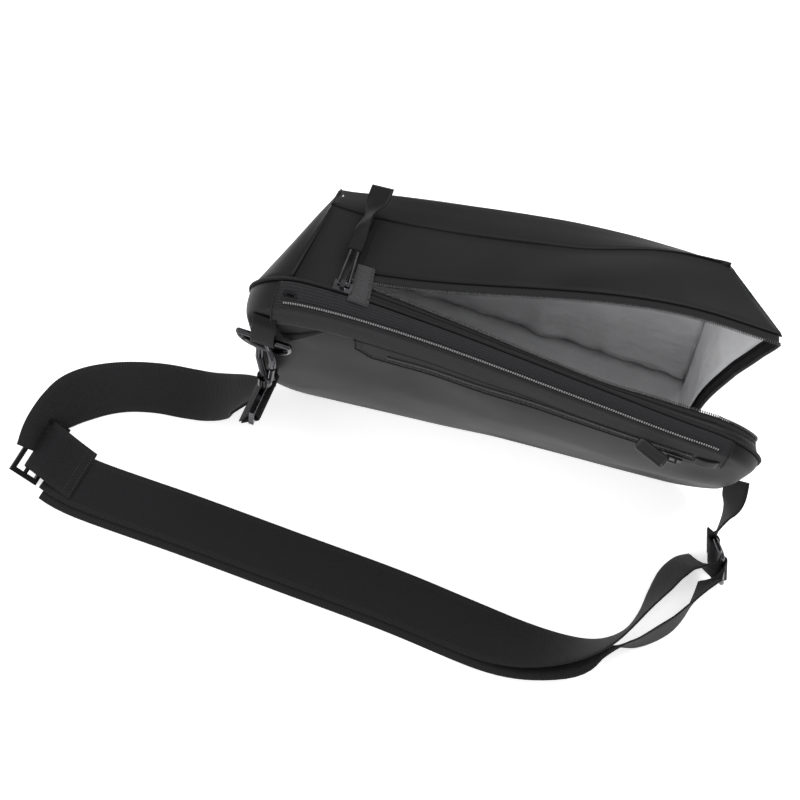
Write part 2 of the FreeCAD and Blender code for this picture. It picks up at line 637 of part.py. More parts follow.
def strap_and_hardware():
    save(d_ring(), "d_ring")
    save(webbing_ring_holder(), "d_ring_loop")
    hook, gate, centre = snap_hook()
    save(hook, "snap_hook_body")
    save(gate, "snap_hook_gate")
    save(swivel_eye(centre), "snap_hook_eye")
    save(strap_end_loop(centre), "strap_end_loop")
    save(floor_ribbon(UPPER_RUN, UPPER_Z), "strap_upper_run")
    save(floor_ribbon(LOWER_RUN, LOWER_Z), "strap_lower_run")
    save(centre_ribbon(HOOK_RUN), "strap_hook_run")
    save(centre_ribbon(ANCHOR_RUN), "anchor_webbing")
    save(right_ring(), "right_ring")
    save(tri_glide(), "tri_glide")


rear_compartment()
wearer_side_pocket()
main_compartment()
main_zip_fixed_side()
front_shell_middle()
front_shell_right()
main_slider()
main_pull()
strap_and_hardware()
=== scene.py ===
from math import cos, hypot, pi, radians, sin, sqrt

import bpy
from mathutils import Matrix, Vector, noise


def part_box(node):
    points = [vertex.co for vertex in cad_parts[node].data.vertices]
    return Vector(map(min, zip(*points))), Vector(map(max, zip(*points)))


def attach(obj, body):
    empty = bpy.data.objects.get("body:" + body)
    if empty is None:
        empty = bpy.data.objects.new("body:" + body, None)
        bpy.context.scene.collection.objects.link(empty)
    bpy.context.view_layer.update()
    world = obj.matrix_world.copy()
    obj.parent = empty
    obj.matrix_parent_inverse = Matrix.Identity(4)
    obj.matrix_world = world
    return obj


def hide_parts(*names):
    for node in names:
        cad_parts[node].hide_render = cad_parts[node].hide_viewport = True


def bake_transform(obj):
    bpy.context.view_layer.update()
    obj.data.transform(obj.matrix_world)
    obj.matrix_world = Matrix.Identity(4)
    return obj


# Sling bag lying on its long side, with its main compartment unzipped.
# Shapes are worked out in millimetres and written to the meshes in metres.

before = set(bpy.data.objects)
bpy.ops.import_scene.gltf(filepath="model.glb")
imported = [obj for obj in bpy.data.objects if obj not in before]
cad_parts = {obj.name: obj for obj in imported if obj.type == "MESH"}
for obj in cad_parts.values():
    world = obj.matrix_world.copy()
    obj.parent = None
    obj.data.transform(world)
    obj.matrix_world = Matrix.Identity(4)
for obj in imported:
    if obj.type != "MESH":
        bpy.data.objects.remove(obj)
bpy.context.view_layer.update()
MM = 0.001

# ---------------- driving dimensions, as in the CAD

HALF = 168.0                 # half length of the rear compartment
HIGH = 190.0                 # top seam above the floor
LOW = 1.0
CORNER = 40.0                # rounded corners of the rear compartment
RIM_R = 6.0                  # rounding of the band into the back panel
RIM_ARC = 16.0               # length of the band over that rounding
FRONT_Y, HINGE_Z = 38.0, 2.0
OPEN_DEG = 13.3              # lean of the unzipped front shell
LEAN_FROM_X, LEAN_TO_X = -138.0, 120.0
LEFT_X, RIGHT_X = -133.0, 128.0
TOP_RIGHT_X = 113.0          # the front shell's top edge is shorter than its bottom
EDGE_Z = 179.0               # folded top edge of the front panel
END_SEAM_X = -140.0          # the left end's top seam meets the rear compartment here
ZIP_X = -105.0               # the main zip starts here
ZIP_END_X = 153.0
ZIP_END = [(14, 128), (60, 128), (100, 130), (140, 138), (170, 147), (190, 153)]   # (z, x) down the end
LIP_SEAM_Y = -30.5           # seam between the top gusset and the zip tape, closed
LIP_Y = -36.5                # edge of that tape
SHELL_T, END_T = 1.6, 1.4    # coated fabric: main panels, and the softer end pieces
TAPE_T, LINING_T = 0.6, 0.5
TOOTH_PITCH = 1.35           # main zip
WEBBING_W, WEBBING_T = 38.0, 1.6

# Points inside the bag: the outer face of a cloth looks away from the one it is given.
IN_REAR, IN_MAIN, IN_RIM = (0, -40, 95), (0, 0, 90), (0, -20, 60)
FAR = 5000                   # far outside the bag, so that a lining faces inward


# ---------------- small helpers

def smooth(t):
    t = min(max(t, 0.0), 1.0)
    return t * t * (3 - 2 * t)


def mix(a, b, t):
    return a + (b - a) * t


def steps(low, high, count):
    return [low + (high - low) * i / count for i in range(count + 1)]


def grid(outer, inner, point):
    """Rows of points, one row for each outer value."""
    return [[point(a, b) for b in inner] for a in outer]


def through(stations, x):
    """Smooth value at x through (x, value) stations."""
    if x <= stations[0][0]:
        return stations[0][1]
    for i in range(len(stations) - 1):
        x1, v1 = stations[i]
        x2, v2 = stations[i + 1]
        if x <= x2:
            v0 = stations[max(i - 1, 0)][1]
            v3 = stations[min(i + 2, len(stations) - 1)][1]
            t = (x - x1) / (x2 - x1)
            m1, m2 = (v2 - v0) / 2, (v3 - v1) / 2
            return ((2 * t ** 3 - 3 * t ** 2 + 1) * v1 + (t ** 3 - 2 * t ** 2 + t) * m1
                    + (3 * t ** 2 - 2 * t ** 3) * v2 + (t ** 3 - t ** 2) * m2)
    return stations[-1][1]


def wrinkle(point, size, depth, seed=0.0):
    """Slow random height at a point, for creases in cloth."""
    return depth * noise.noise(Vector((point[0] / size + seed, point[1] / size, point[2] / size)))


def spaced(points, pitch):
    """Points and directions every pitch along a line of points."""
    result = []
    left = 0.0
    for a, b in zip(points, points[1:]):
        a, b = Vector(a), Vector(b)
        length = (b - a).length
        while left < length:
            result.append((a + (b - a) * (left / length), (b - a).normalized()))
            left += pitch
        left -= length
    return result


# ---------------- materials

def feed(tree, target, source):
    """Link a signal to a node's input, or set the input to a number."""
    if isinstance(source, Signal):
        tree.links.new(source.socket, target)
    else:
        target.default_value = source


class Signal:
    """Output of a shader node, with the arithmetic that the materials use."""

    def __init__(self, tree, socket):
        self.tree, self.socket = tree, socket

    def math(self, operation, other=0.0):
        node = self.tree.nodes.new("ShaderNodeMath")
        node.operation = operation
        for target, source in zip(node.inputs, (self, other)):
            feed(self.tree, target, source)
        return Signal(self.tree, node.outputs[0])

    def __add__(self, other):
        return self.math("ADD", other)

    def __mul__(self, other):
        return self.math("MULTIPLY", other)

    def wave(self, pitch):
        """Sine of this coordinate with the given pitch in metres, from 0 to 1."""
        return (self * (2 * pi / pitch)).math("SINE") * 0.5 + 0.5


class Surface:
    """A principled material and the nodes that vary it."""

    def __init__(self, name, colour, roughness, metallic=0.0, sheen=0.0, specular=0.5, place="Object"):
        self.material = bpy.data.materials.new(name)
        self.material.use_nodes = True
        self.tree = self.material.node_tree
        self.inputs = self.tree.nodes["Principled BSDF"].inputs
        given = {"Base Color": (*colour, 1), "Roughness": roughness, "Metallic": metallic,
                 "Specular IOR Level": specular, "Sheen Weight": sheen, "Sheen Roughness": 0.4}
        for socket, number in given.items():
            self.inputs[socket].default_value = number
        self.where = Signal(self.tree, self.tree.nodes.new("ShaderNodeTexCoord").outputs[place])

    def node(self, kind, data_type=None, **inputs):
        """Outputs of a new node."""
        made = self.tree.nodes.new(kind)
        if data_type:
            made.data_type = data_type
        for name, source in inputs.items():
            feed(self.tree, made.inputs[name], source)
        return [Signal(self.tree, socket) for socket in made.outputs if socket.enabled]

    def axes(self):
        """X, Y and Z in the bag's own frame, or along and across the cloth for UV."""
        return self.node("ShaderNodeSeparateXYZ", Vector=self.where)

    def grain(self, scale, detail=3.0):
        return self.node("ShaderNodeTexNoise", Vector=self.where, Scale=scale, Detail=detail)[0]

    def tint(self, factor, dark, light):
        mixed = self.node("ShaderNodeMix", "RGBA", Factor=factor, A=(*dark, 1), B=(*light, 1))[0]
        feed(self.tree, self.inputs["Base Color"], mixed)

    def bump(self, height, distance, strength):
        normal = self.node("ShaderNodeBump", Distance=distance, Strength=strength, Height=height)[0]
        feed(self.tree, self.inputs["Normal"], normal)

    def rough(self, factor, low, high):
        feed(self.tree, self.inputs["Roughness"], factor * (high - low) + low)


def coated_fabric():
    """Matt coated polyester: a very fine plain weave under a thin coating, slightly uneven."""
    surface = Surface("coated_fabric", (0.008, 0.008, 0.009), 0.5, specular=0.16)
    x, y, z = surface.axes()
    weave = (x + y).wave(0.0011) * (z + y).wave(0.0011)
    cloudy = surface.grain(22)
    surface.tint(cloudy, (0.0050, 0.0050, 0.0055), (0.0100, 0.0100, 0.0108))
    surface.rough(cloudy, 0.42, 0.58)
    surface.bump(surface.grain(1500, 1) * 0.6 + weave, 0.00004, 0.7)
    return surface.material


def woven_band(name="woven_band", dark=(0.006, 0.006, 0.007), light=(0.030, 0.030, 0.032)):
    """Ribbed woven fabric: fine ribs along the cloth, with a heathered yarn."""
    surface = Surface(name, light, 0.85, sheen=0.08, specular=0.2, place="UV")
    u, v, _ = surface.axes()
    ribs = v.wave(0.0014)
    surface.tint(ribs * 0.35 + surface.grain(900, 2) * 0.65, dark, light)
    surface.bump(ribs + u.wave(0.0009) * 0.5, 0.00014, 0.8)
    return surface.material


FIELD_SHARE = 0.78           # of the webbing's width, between its selvedges


def webbing_fabric():
    """Nylon webbing: a twill field between two ribbed selvedges, which are where edge is 1."""
    surface = Surface("webbing", (0.012, 0.012, 0.013), 0.8, sheen=0.05, specular=0.2, place="UV")
    u, v, _ = surface.axes()
    half = WEBBING_W * MM / 2
    edge = u.math("SUBTRACT", half).math("ABSOLUTE").math("GREATER_THAN", half * FIELD_SHARE)
    field = edge * -1 + 1
    height = (v + u * 0.6).wave(0.0015) * field + v.wave(0.0017) * edge
    surface.tint(height * 0.5 + surface.grain(700, 2) * 0.45 + edge * 0.12,
                 (0.004, 0.004, 0.005), (0.020, 0.020, 0.021))
    surface.bump(height, 0.0003, 0.8)
    return surface.material


def trim_tape():
    """Zip tape and folded binding: a fine herringbone tape."""
    surface = Surface("trim_tape", (0.014, 0.014, 0.015), 0.8, sheen=0.05, specular=0.2)
    x, _, z = surface.axes()
    bars = (x + z * 0.6).wave(0.0012)
    surface.tint(bars * 0.5 + surface.grain(800) * 0.5, (0.006, 0.006, 0.007), (0.022, 0.022, 0.023))
    surface.bump(bars, 0.00015, 0.8)
    return surface.material


def satin_lining():
    """Light grey satin with soft creases, its colour painted darker in the crease hollows and lighter on the
    crests, as shade and light.
    """
    surface = Surface("satin_lining", (0.85, 0.85, 0.86), 0.34, sheen=0.1)
    folds = surface.grain(55, 2)
    # Painted shade: the fold height that drives the bump also darkens the colour in the hollows and lightens
    # it on the crests.
    surface.tint(folds, (0.78, 0.78, 0.79), (0.93, 0.93, 0.94))
    surface.bump(surface.axes()[0].wave(0.0005) * 0.04 + folds, 0.0035, 0.8)
    surface.rough(folds, 0.28, 0.45)
    return surface.material


def worn_metal(name, dark, light, low, high):
    """Plated metal with slight wear and fine scratches."""
    surface = Surface(name, light, 0.25, metallic=1.0)
    patches = surface.grain(160)
    surface.tint(patches, dark, light)
    surface.rough(patches, low, high)
    surface.bump(surface.grain(900, 4), 0.00005, 0.4)
    return surface.material


def moulded(name, dark, light, roughness, depth):
    """Moulded nylon or rubber with a fine grain."""
    surface = Surface(name, light, roughness)
    speck = surface.grain(600)
    surface.tint(speck, dark, light)
    surface.rough(speck, roughness - 0.08, roughness + 0.08)
    surface.bump(speck, depth, 0.6)
    return surface.material


SHELL = coated_fabric()
BAND = woven_band()
STRIP = woven_band("woven_strip", (0.020, 0.020, 0.021), (0.075, 0.075, 0.078))
WEBBING = webbing_fabric()
TAPE = trim_tape()
LINING = satin_lining()
GUNMETAL = worn_metal("gunmetal", (0.035, 0.035, 0.037), (0.13, 0.13, 0.14), 0.10, 0.24)
BLACK_METAL = worn_metal("black_metal", (0.010, 0.010, 0.011), (0.028, 0.028, 0.030), 0.28, 0.42)
COIL = moulded("zip_coil", (0.012, 0.012, 0.012), (0.035, 0.035, 0.037), 0.32, 0.00003)
# Light grey copy of the black zip coil, for the rear compartment's teeth: a painted highlight, not the coil's
# own colour.
COIL_PAINTED_HIGHLIGHT = moulded("zip_coil_painted_highlight", (0.16, 0.16, 0.16), (0.34, 0.34, 0.34), 0.3, 0.00003)
RUBBER = moulded("rubber", (0.006, 0.006, 0.006), (0.013, 0.013, 0.013), 0.40, 0.00008)
THREAD = moulded("thread", (0.014, 0.014, 0.015), (0.035, 0.035, 0.037), 0.6, 0.00005)


def repaint(node, material):
    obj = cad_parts[node]
    if obj.material_slots:
        for entry in obj.material_slots:
            entry.material = material
    else:
        obj.data.materials.append(material)


# ---------------- making pieces

def added(name, data):
    obj = bpy.data.objects.new(name, data)
    bpy.context.scene.collection.objects.link(obj)
    return obj


def finish_piece(name, mesh, material, body):
    obj = added(name, mesh)
    obj.data.materials.append(material)
    for polygon in obj.data.polygons:
        polygon.use_smooth = True
    if body:
        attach(obj, body)
    return obj


def shaped(maker):
    """Mesh of a passing object, with its modifiers or its curve's thickness worked in."""
    bpy.context.view_layer.update()
    mesh = bpy.data.meshes.new_from_object(maker.evaluated_get(bpy.context.evaluated_depsgraph_get()))
    bpy.data.objects.remove(maker)
    return mesh


def mesh_with_uv(name, points, faces, coords):
    mesh = bpy.data.meshes.new(name)
    mesh.from_pydata(points, [], faces)
    layer = mesh.uv_layers.new(name="Cloth")
    for loop, uv in zip(layer.data, coords):
        loop.uv = uv
    return mesh


def running(points):
    """Length in metres from the first point to each point."""
    line = [0.0]
    for a, b in zip(points, points[1:]):
        line.append(line[-1] + (Vector(b) - Vector(a)).length * MM)
    return line


def mesh_from_grids(name, grids, inside):
    """One mesh of several grids of points; shared borders are welded, faces look away from inside."""
    points, faces, coords = [], [], []
    known = {}

    def index(p):
        key = tuple(round(c, 2) for c in p)
        if key not in known:
            known[key] = len(points)
            points.append([c * MM for c in p])
        return known[key]

    for rows in grids:
        cells = [[index(p) for p in row] for row in rows]
        u = [running(row) for row in rows]
        v = running([row[len(rows[0]) // 2] for row in rows])
        made = []
        facing = 0.0
        for i in range(len(rows) - 1):
            for j in range(len(rows[0]) - 1):
                ring = [(i, j), (i, j + 1), (i + 1, j + 1), (i + 1, j)]
                corner = [Vector(rows[a][b]) for a, b in ring]
                normal = (corner[2] - corner[0]).cross(corner[3] - corner[1])
                facing += normal.dot(sum(corner, Vector()) / 4 - Vector(inside))
                made.append(ring)
        for ring in made:
            if facing < 0:
                ring = ring[::-1]
            face, uv = [], []
            for a, b in ring:
                if cells[a][b] not in face:
                    face.append(cells[a][b])
                    uv.append((u[a][b], v[a]))
            if len(face) > 2:
                faces.append(face)
                coords += uv
    mesh = mesh_with_uv(name, points, faces, coords)
    mesh.validate()
    return mesh


def cloth(name, grids, inside, thickness=SHELL_T, material=SHELL, body="bag"):
    """Cloth with a real thickness, its outer face on the given points."""
    mesh = mesh_from_grids(name, grids, inside)
    if thickness:
        maker = added(name + "_maker", mesh)
        solid = maker.modifiers.new("Thickness", "SOLIDIFY")
        solid.thickness = thickness * MM
        solid.offset = -1
        solid.use_even_offset = False
        mesh = shaped(maker)
    return finish_piece(name, mesh, material, body)


def tube_along(name, points, radius, material=SHELL, body="bag", closed=False):
    """Round cord through the points, as a mesh."""
    curve = bpy.data.curves.new(name, "CURVE")
    curve.dimensions = "3D"
    spline = curve.splines.new("POLY")
    spline.points.add(len(points) - 1)
    for target, p in zip(spline.points, points):
        target.co = (*(c * MM for c in p), 1)
    spline.use_cyclic_u = closed
    curve.bevel_depth = radius * MM
    curve.bevel_resolution = 2
    curve.use_fill_caps = True
    return finish_piece(name, shaped(added(name + "_maker", curve)), material, body)


def blocks(name, frames, size, material=COIL, body="bag"):
    """Many small bevelled blocks: frames hold (centre, along, up) and size is along, across, up."""
    points, faces = [], []
    for centre, along, up in frames:
        along = Vector(along).normalized()
        across = Vector(up).cross(along).normalized()
        up = along.cross(across).normalized()
        start = len(points)
        for level, scale in ((-0.5, 0.8), (0.0, 1.0), (0.5, 0.6)):
            for sa, sb in ((-1, -1), (1, -1), (1, 1), (-1, 1)):
                p = Vector(centre) + along * (sa * size[0] / 2 * scale)
                p = p + across * (sb * size[1] / 2 * scale) + up * (level * size[2])
                points.append(p * MM)
        sides = [(r + k, r + (k + 1) % 4, r + 4 + (k + 1) % 4, r + 4 + k) for r in (0, 4) for k in range(4)]
        for face in sides + [(3, 2, 1, 0), (8, 9, 10, 11)]:
            faces.append([start + k for k in face])
    mesh = bpy.data.meshes.new(name)
    mesh.from_pydata(points, [], faces)
    return finish_piece(name, mesh, material, body)


def stitches(name, line, pitch, lift, up=(0, 0, 1)):
    frames = [(p + Vector(up) * lift, along, up) for p, along in spaced(line, pitch)]
    return blocks(name, frames, (pitch * 0.68, 0.5, 0.45), THREAD)


# ---------------- shape of the rear compartment

# Along the bag, as (x, value): y of the seam beside the main compartment, then how far the back bulges.
SEAM_TOP = [(-168, -51), (-139, -46.5), (-100, -44.5), (-37, -45.5), (0, -47.2), (60, -50), (117, -52.8),
            (168, -53)]
SEAM_BOTTOM = [(-168, -53), (-60, -52), (0, -50), (90, -45), (168, -40)]
RIM = [(-168, 18), (-120, 15), (-60, 12), (0, 10.5), (168, 8.5)]
CROWN = [(-168, 8), (-100, 8), (0, 8), (100, 6), (168, 5)]
FOOT_DEPTH = [(-168, 1.0), (-100, 0.85), (-40, 0.6), (10, 0.3), (100, 0.2), (168, 0.2)]

BACK_INSETS = (8, 10, 13, 16, 19, 23, 27, 31, 36, 41, 47, 54, 62, 72, 84, 92)
BAND_END_X = 146
BAND_STOP = RIM_ARC + 17     # the ribbed band ends here, down the back
BAND_LIFT = 0.7              # its face stands off the shell
COIL_END_X = 139
COIL_S = RIM_ARC * 0.62      # the compartment's coil lies here on the rounded rim


def seam_y(x, z):
    """Where the seam between the two compartments lies."""
    return mix(through(SEAM_BOTTOM, x), through(SEAM_TOP, x), smooth(z / HIGH))


def outline_top(x):
    """Height of the rounded outline above x."""
    over = max(abs(x) - (HALF - CORNER), 0.0)
    return HIGH - CORNER + sqrt(max(CORNER ** 2 - over ** 2, 0.0))


def outline(inset):
    """Closed loop of (x, z) round the compartment, set in by inset; it starts at the top left."""
    radius = max(CORNER - inset, 3.0)
    half, low = HALF - inset, LOW + inset
    high = max(HIGH - inset, low + 2 * radius)

    def corner(n):
        side, up = ((-1, 1), (1, 1), (1, -1), (-1, -1))[n % 4]
        x0, z0 = side * (half - radius), high - radius if up > 0 else low + radius
        turns = [radians(180 - 90 * (n % 4) - a) for a in steps(0, 90, 12)]
        return [(x0 + radius * cos(a), z0 + radius * sin(a)) for a in turns]

    loop = []
    for n in range(4):
        loop += corner(n)
        (xa, za), (xb, zb) = loop[-1], corner(n + 1)[0]
        loop += [(mix(xa, xb, t), mix(za, zb, t)) for t in steps(0, 1, 12 if n % 2 else 30)[1:-1]]
    return loop


def foot(x, z):
    """How much of its full depth the compartment has at this height."""
    return mix(through(FOOT_DEPTH, x), 1.0, smooth(z / 110))


def rear_y(x, z, inset, rim_share=1.0):
    """Outer face of the back, inset from the outline."""
    rim = through(RIM, x) * rim_share * foot(x, z)
    crown = through(CROWN, x) * (1 - (1 - min(inset / 60, 1)) ** 2) * foot(x, z)
    crease = wrinkle((x, 0, z), 55, 1.6) * smooth((inset - 8) / 12)
    return seam_y(x, z) - rim - crown + crease


def on_back(x, z, lift=0.0):
    """Point on the back panel, lifted off it toward the wearer."""
    qx = abs(x) - (HALF - CORNER)
    qz = abs(z - (HIGH + LOW) / 2) - ((HIGH - LOW) / 2 - CORNER)
    inset = CORNER - hypot(max(qx, 0), max(qz, 0)) - min(max(qx, qz), 0)
    return (x, rear_y(x, z, inset) - lift, z)


def on_top(x, s, lift=0.0):
    """Point on the band: s runs from the seam over the rounded rim and down the back."""
    rise = min(s / RIM_ARC, 1.0) * pi / 2
    inset = RIM_R * (1 - cos(rise)) + max(s - RIM_ARC, 0.0)
    z = outline_top(x) - inset
    y = rear_y(x, z, inset, sin(rise))
    return (x, y - lift * sin(rise), z + lift * cos(rise))


def rear_ring(inset, rim_share=1.0):
    ring = [(x, rear_y(x, z, inset, rim_share), z) for x, z in outline(inset)]
    return ring + ring[:1]


def rear_compartment():
    rows = [rear_ring(RIM_R * (1 - cos(rise)), sin(rise)) for rise in steps(0, pi / 2, 8)]
    rows += [rear_ring(inset) for inset in BACK_INSETS]
    middle = (HIGH + LOW) / 2
    last = [(x, rear_y(x, middle, (HIGH - LOW) / 2), middle) for x, _ in outline(BACK_INSETS[-1])]
    rows.append(last + last[:1])
    shell = cloth("rear_compartment_shell", [rows], IN_REAR)
    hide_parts("back_panel", "back_panel_foam", "divider_panel")
    piping = [(x, seam_y(x, z) + 0.6, z) for x, z in outline(-0.6)]
    cord = tube_along("seam_piping_cord", piping, 1.1, TAPE, closed=True)
    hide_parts("seam_piping")


def rear_band():
    """Ribbed band over the top of the rear compartment, with a closed coil zip along its crown."""
    across = steps(-BAND_END_X, BAND_END_X, 100)
    rows = grid(steps(1.0, BAND_STOP, 22), across, lambda s, x: on_top(x, s, BAND_LIFT))
    band = cloth("ribbed_band", [rows], IN_REAR, TAPE_T, BAND)
    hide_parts("rear_gusset_band", "compartment_zip_tape")
    line = [on_top(x, COIL_S, 1.0) for x in steps(-COIL_END_X, COIL_END_X, 140)]
    frames = [(p, along, (0, -0.6, 0.8)) for p, along in spaced(line, 1.5)]
    # These teeth take the light grey coil material, which paints a highlight onto the black coil.
    coil = blocks("compartment_zip_teeth", frames, (0.9, 1.3, 1.0), COIL_PAINTED_HIGHLIGHT)
    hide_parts("compartment_zip_coil")
    for name, offset in (("upper", -1.9), ("lower", 2.0)):
        edge = [on_top(x, COIL_S + offset, 0.8) for x in steps(-COIL_END_X - 2, COIL_END_X + 1, 70)]
        tube_along("compartment_zip_fold_" + name, edge, 0.45, BAND)
    for side, x in (("left", -BAND_END_X), ("right", BAND_END_X)):
        edge = [on_top(x, s, 0.9) for s in steps(1.0, BAND_STOP, 16)]
        tube_along("ribbed_band_end_" + side, edge, 0.5, TAPE)


# ---------------- front shell of the main compartment

# (x, y) along the front panel's folded top edge, zipped closed.
FRONT_EDGE = [(-135, 23.7), (-97, 29.4), (-47, 30.3), (3, 27.7), (41, 23.6), (86, 18.2), (114, 16.1)]
FOLD_DEPTH, FOLD_RISE = 3.2, 3.6         # radii of that fold
FOLD_TURN = 0.72                         # share of a quarter turn that it takes
PANEL_BULGE, FACET_PUFF, TOP_SAG = 3.0, 0.7, 1.3
SEAM_DIP = 0.8                           # cloth is drawn in beside a seam
GUSSET_ROWS = [0, 0.03, 0.07, 0.16, 0.3, 0.45, 0.6, 0.75, 0.87, 0.95, 0.98, 1.0]     # closer at the seams


def lean(p, share=1.0):
    """Turn a point of the closed front shell about its bottom edge, to where it is unzipped."""
    angle = radians(OPEN_DEG) * smooth((p[0] - LEAN_FROM_X) / (LEAN_TO_X - LEAN_FROM_X)) * share
    dy, dz = p[1] - FRONT_Y, p[2] - HINGE_Z
    y = FRONT_Y + dy * cos(angle) + dz * sin(angle)
    z = HINGE_Z - dy * sin(angle) + dz * cos(angle)
    return (p[0], y, z)


def across_joint(*pieces):
    """Bakes each piece's placement into its mesh; the bend of the soft front shell, from its sewn left end to
    its free right end, is already in its points.
    """
    for piece in pieces:
        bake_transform(piece)


def edge_y(x):
    """Y of the front panel's folded top edge, zipped closed."""
    return through(FRONT_EDGE, x)


def facet_seam(x):
    """Seam between the folded facet and the top gusset, as (y, z)."""
    run_out = smooth((x - 15) / (TOP_RIGHT_X - 15))
    y = mix(7 - 0.05 * (x + 100), edge_y(x) - 1.6, run_out)
    return y, mix(188.3, EDGE_Z + 1.0, run_out ** 1.5)


def right_x(z):
    """Right end of the front panel at height z."""
    return mix(RIGHT_X, TOP_RIGHT_X, z / EDGE_Z)


def zip_end_x(z):
    """How far along the bag the zip runs at height z, down the right end."""
    return through(ZIP_END, z)


def front_point(t, u):
    """Front panel: t up it and u along it."""
    z = mix(3.0, EDGE_Z - 3, t)
    x = mix(LEFT_X, right_x(z), u)
    bulge = PANEL_BULGE * sin(pi * t) * sin(pi * u) ** 0.6
    y = mix(FRONT_Y, edge_y(x), t) + bulge
    return lean((x, y + wrinkle((x, 0, z), 70, 1.5, 3.0), z))


def fold_point(t, u):
    """Rounded fold from the front panel's top edge into the facet."""
    if t == 0:
        return front_point(1, u)
    x = mix(LEFT_X, TOP_RIGHT_X, u)
    a = pi / 2 * t * FOLD_TURN
    return lean((x, edge_y(x) - FOLD_DEPTH * (1 - cos(a)), EDGE_Z - 3 + FOLD_RISE * sin(a)))


def facet_point(t, u):
    """Facet between that fold and the top gusset."""
    x = mix(LEFT_X, TOP_RIGHT_X, u)
    y, z = facet_seam(x)
    lift = FACET_PUFF * sin(pi * t) - (SEAM_DIP if t == 1.0 else 0.0)
    return lean((x, mix(edge_y(x) - 1.7, y, t), mix(EDGE_Z - 0.3, z, t) + lift))


def top_point(x, t):
    """Top gusset between the facet seam (t 0) and the lip (t 1)."""
    y0, z0 = facet_seam(min(x, TOP_RIGHT_X))
    dip = SEAM_DIP * (max(0.0, 1 - t / 0.07) + max(0.0, 1 - (1 - t) / 0.05))
    sag = TOP_SAG * sin(pi * t)
    z = mix(z0, HIGH + 0.3, t) - dip - sag + wrinkle((x, t * 60, 0), 45, 1.2, 7.0)
    return (x, mix(y0, LIP_SEAM_Y, t), z)


def gusset_point(t, u):
    return lean(top_point(mix(ZIP_X, mix(TOP_RIGHT_X, ZIP_END_X, t), u), t))


def gusset_end_point(t, u):
    """Top gusset left of the zip, sewn to the rear compartment."""
    x = mix(mix(LEFT_X, END_SEAM_X, t), ZIP_X, u)
    y0, z0 = facet_seam(x)
    dip = 0.9 * max(0.0, 1 - t / 0.07, 1 - u / 0.07)
    z = mix(z0, outline_top(x) - 0.5, t) - dip - sin(pi * t)
    return lean((x, mix(y0, seam_y(x, HIGH) + 1.0, t), z), 1 - t)


def front_shell():
    columns = steps(0, 1, 60)
    panel = grid(steps(0, 1, 16), columns, front_point)
    fold = grid(steps(0, 1, 4), columns, fold_point)
    facet = fold[-1:] + grid((0.2, 0.4, 0.6, 0.8, 0.93, 1.0), columns, facet_point)
    gusset = grid(GUSSET_ROWS, steps(0, 1, 56), gusset_point)
    left = grid(GUSSET_ROWS, (0, 0.03, 0.07, 0.15, 0.25, 0.4, 0.55, 0.7, 0.85, 1.0), gusset_end_point)
    shell = cloth("front_shell", [panel, fold, facet], IN_MAIN, body=None)
    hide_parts("front_panel_left", "front_panel_middle", "front_panel_right", "front_facet_left",
                "front_facet_middle", "front_facet_right")
    top = cloth("top_gusset_cloth", [gusset], IN_MAIN, body=None)
    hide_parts("top_gusset_left", "top_gusset_middle", "top_gusset_right", "top_gusset_corner")
    end = cloth("top_gusset_end_cloth", [left], IN_MAIN, body=None)
    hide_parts("top_gusset_end")
    across_joint(shell, top, end)


def zip_side(side, outer, inner, tape_rows, drop, inside, tooth, up, body):
    """Tape between two lines and teeth along the outer one; tooth is their width and how far out they are."""
    low = Vector((0, 0, drop))
    tape = [[Vector(a).lerp(Vector(b), t) - low for a, b in zip(inner, outer)] for t in tape_rows]
    ribbon = cloth(side + "_zip_tape", [tape], inside, TAPE_T, TAPE, body)
    frames = []
    for (p, along), (q, _) in zip(spaced(outer, TOOTH_PITCH), spaced(inner, TOOTH_PITCH)):
        out = (p - q).normalized()
        frames.append((p + out * tooth[1], along, up(p, out, along)))
    return ribbon, blocks(side + "_zip_teeth", frames, (0.8, tooth[0], 1.6), body=body)


def front_zip():
    """Tape and teeth along the front lip and down the right end, where the gusset folds inward."""
    lip = [(x, LIP_Y, HIGH - 0.2) for x in steps(ZIP_X, ZIP_END_X - 3, 130)]
    on_lip = len(lip)
    inner = [(x, LIP_SEAM_Y, HIGH - 0.6) for x, _, _ in lip]
    lip.append((ZIP_END_X - 0.6, LIP_Y + 0.6, HIGH - 1.2))
    inner.append((ZIP_END_X - 2.2, LIP_SEAM_Y + 0.6, HIGH - 2.4))
    for z in steps(HIGH - 4, 14, 70):
        lip.append((zip_end_x(z) + 0.6, LIP_Y + 2.0, z))
        inner.append((zip_end_x(z) - 0.4, LIP_SEAM_Y + 3.0, z - 1.0))
    lip, inner = [lean(p) for p in lip], [lean(p) for p in inner]
    ribbon, teeth = zip_side("front", lip, inner, (0, 0.35, 0.7, 1.0), 0.0, IN_MAIN, (2.4, 0.6),
                             lambda p, out, along: along.cross(out), None)
    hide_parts("main_zip_tape_middle", "main_zip_tape_right")
    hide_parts("main_zip_coil_left", "main_zip_coil_middle", "main_zip_coil_right")
    welt = [Vector(p) + Vector((0, 0.4, 0.6)) for p in inner[:on_lip]]
    across_joint(ribbon, teeth, tube_along("front_lip_welt", welt, 0.9, body=None))


def end_outline(side, count, start=0.0):
    """Rear outline from the top, round one end, down to the floor: x, z. Start is a share of its length."""
    corner, straight = 0.38, 0.34
    points = []
    for s in steps(start, 1, count):
        if corner <= s < corner + straight:
            points.append((side * HALF, mix(HIGH - CORNER, LOW + CORNER, (s - corner) / straight)))
            continue
        if s < corner:
            turn, centre_z = 90 - 90 * s / corner, HIGH - CORNER
        else:
            turn, centre_z = -90 * (s - corner - straight) / (1 - corner - straight), LOW + CORNER
        a = radians(turn)
        points.append((side * (HALF - CORNER + CORNER * cos(a)), centre_z + CORNER * sin(a)))
    return points


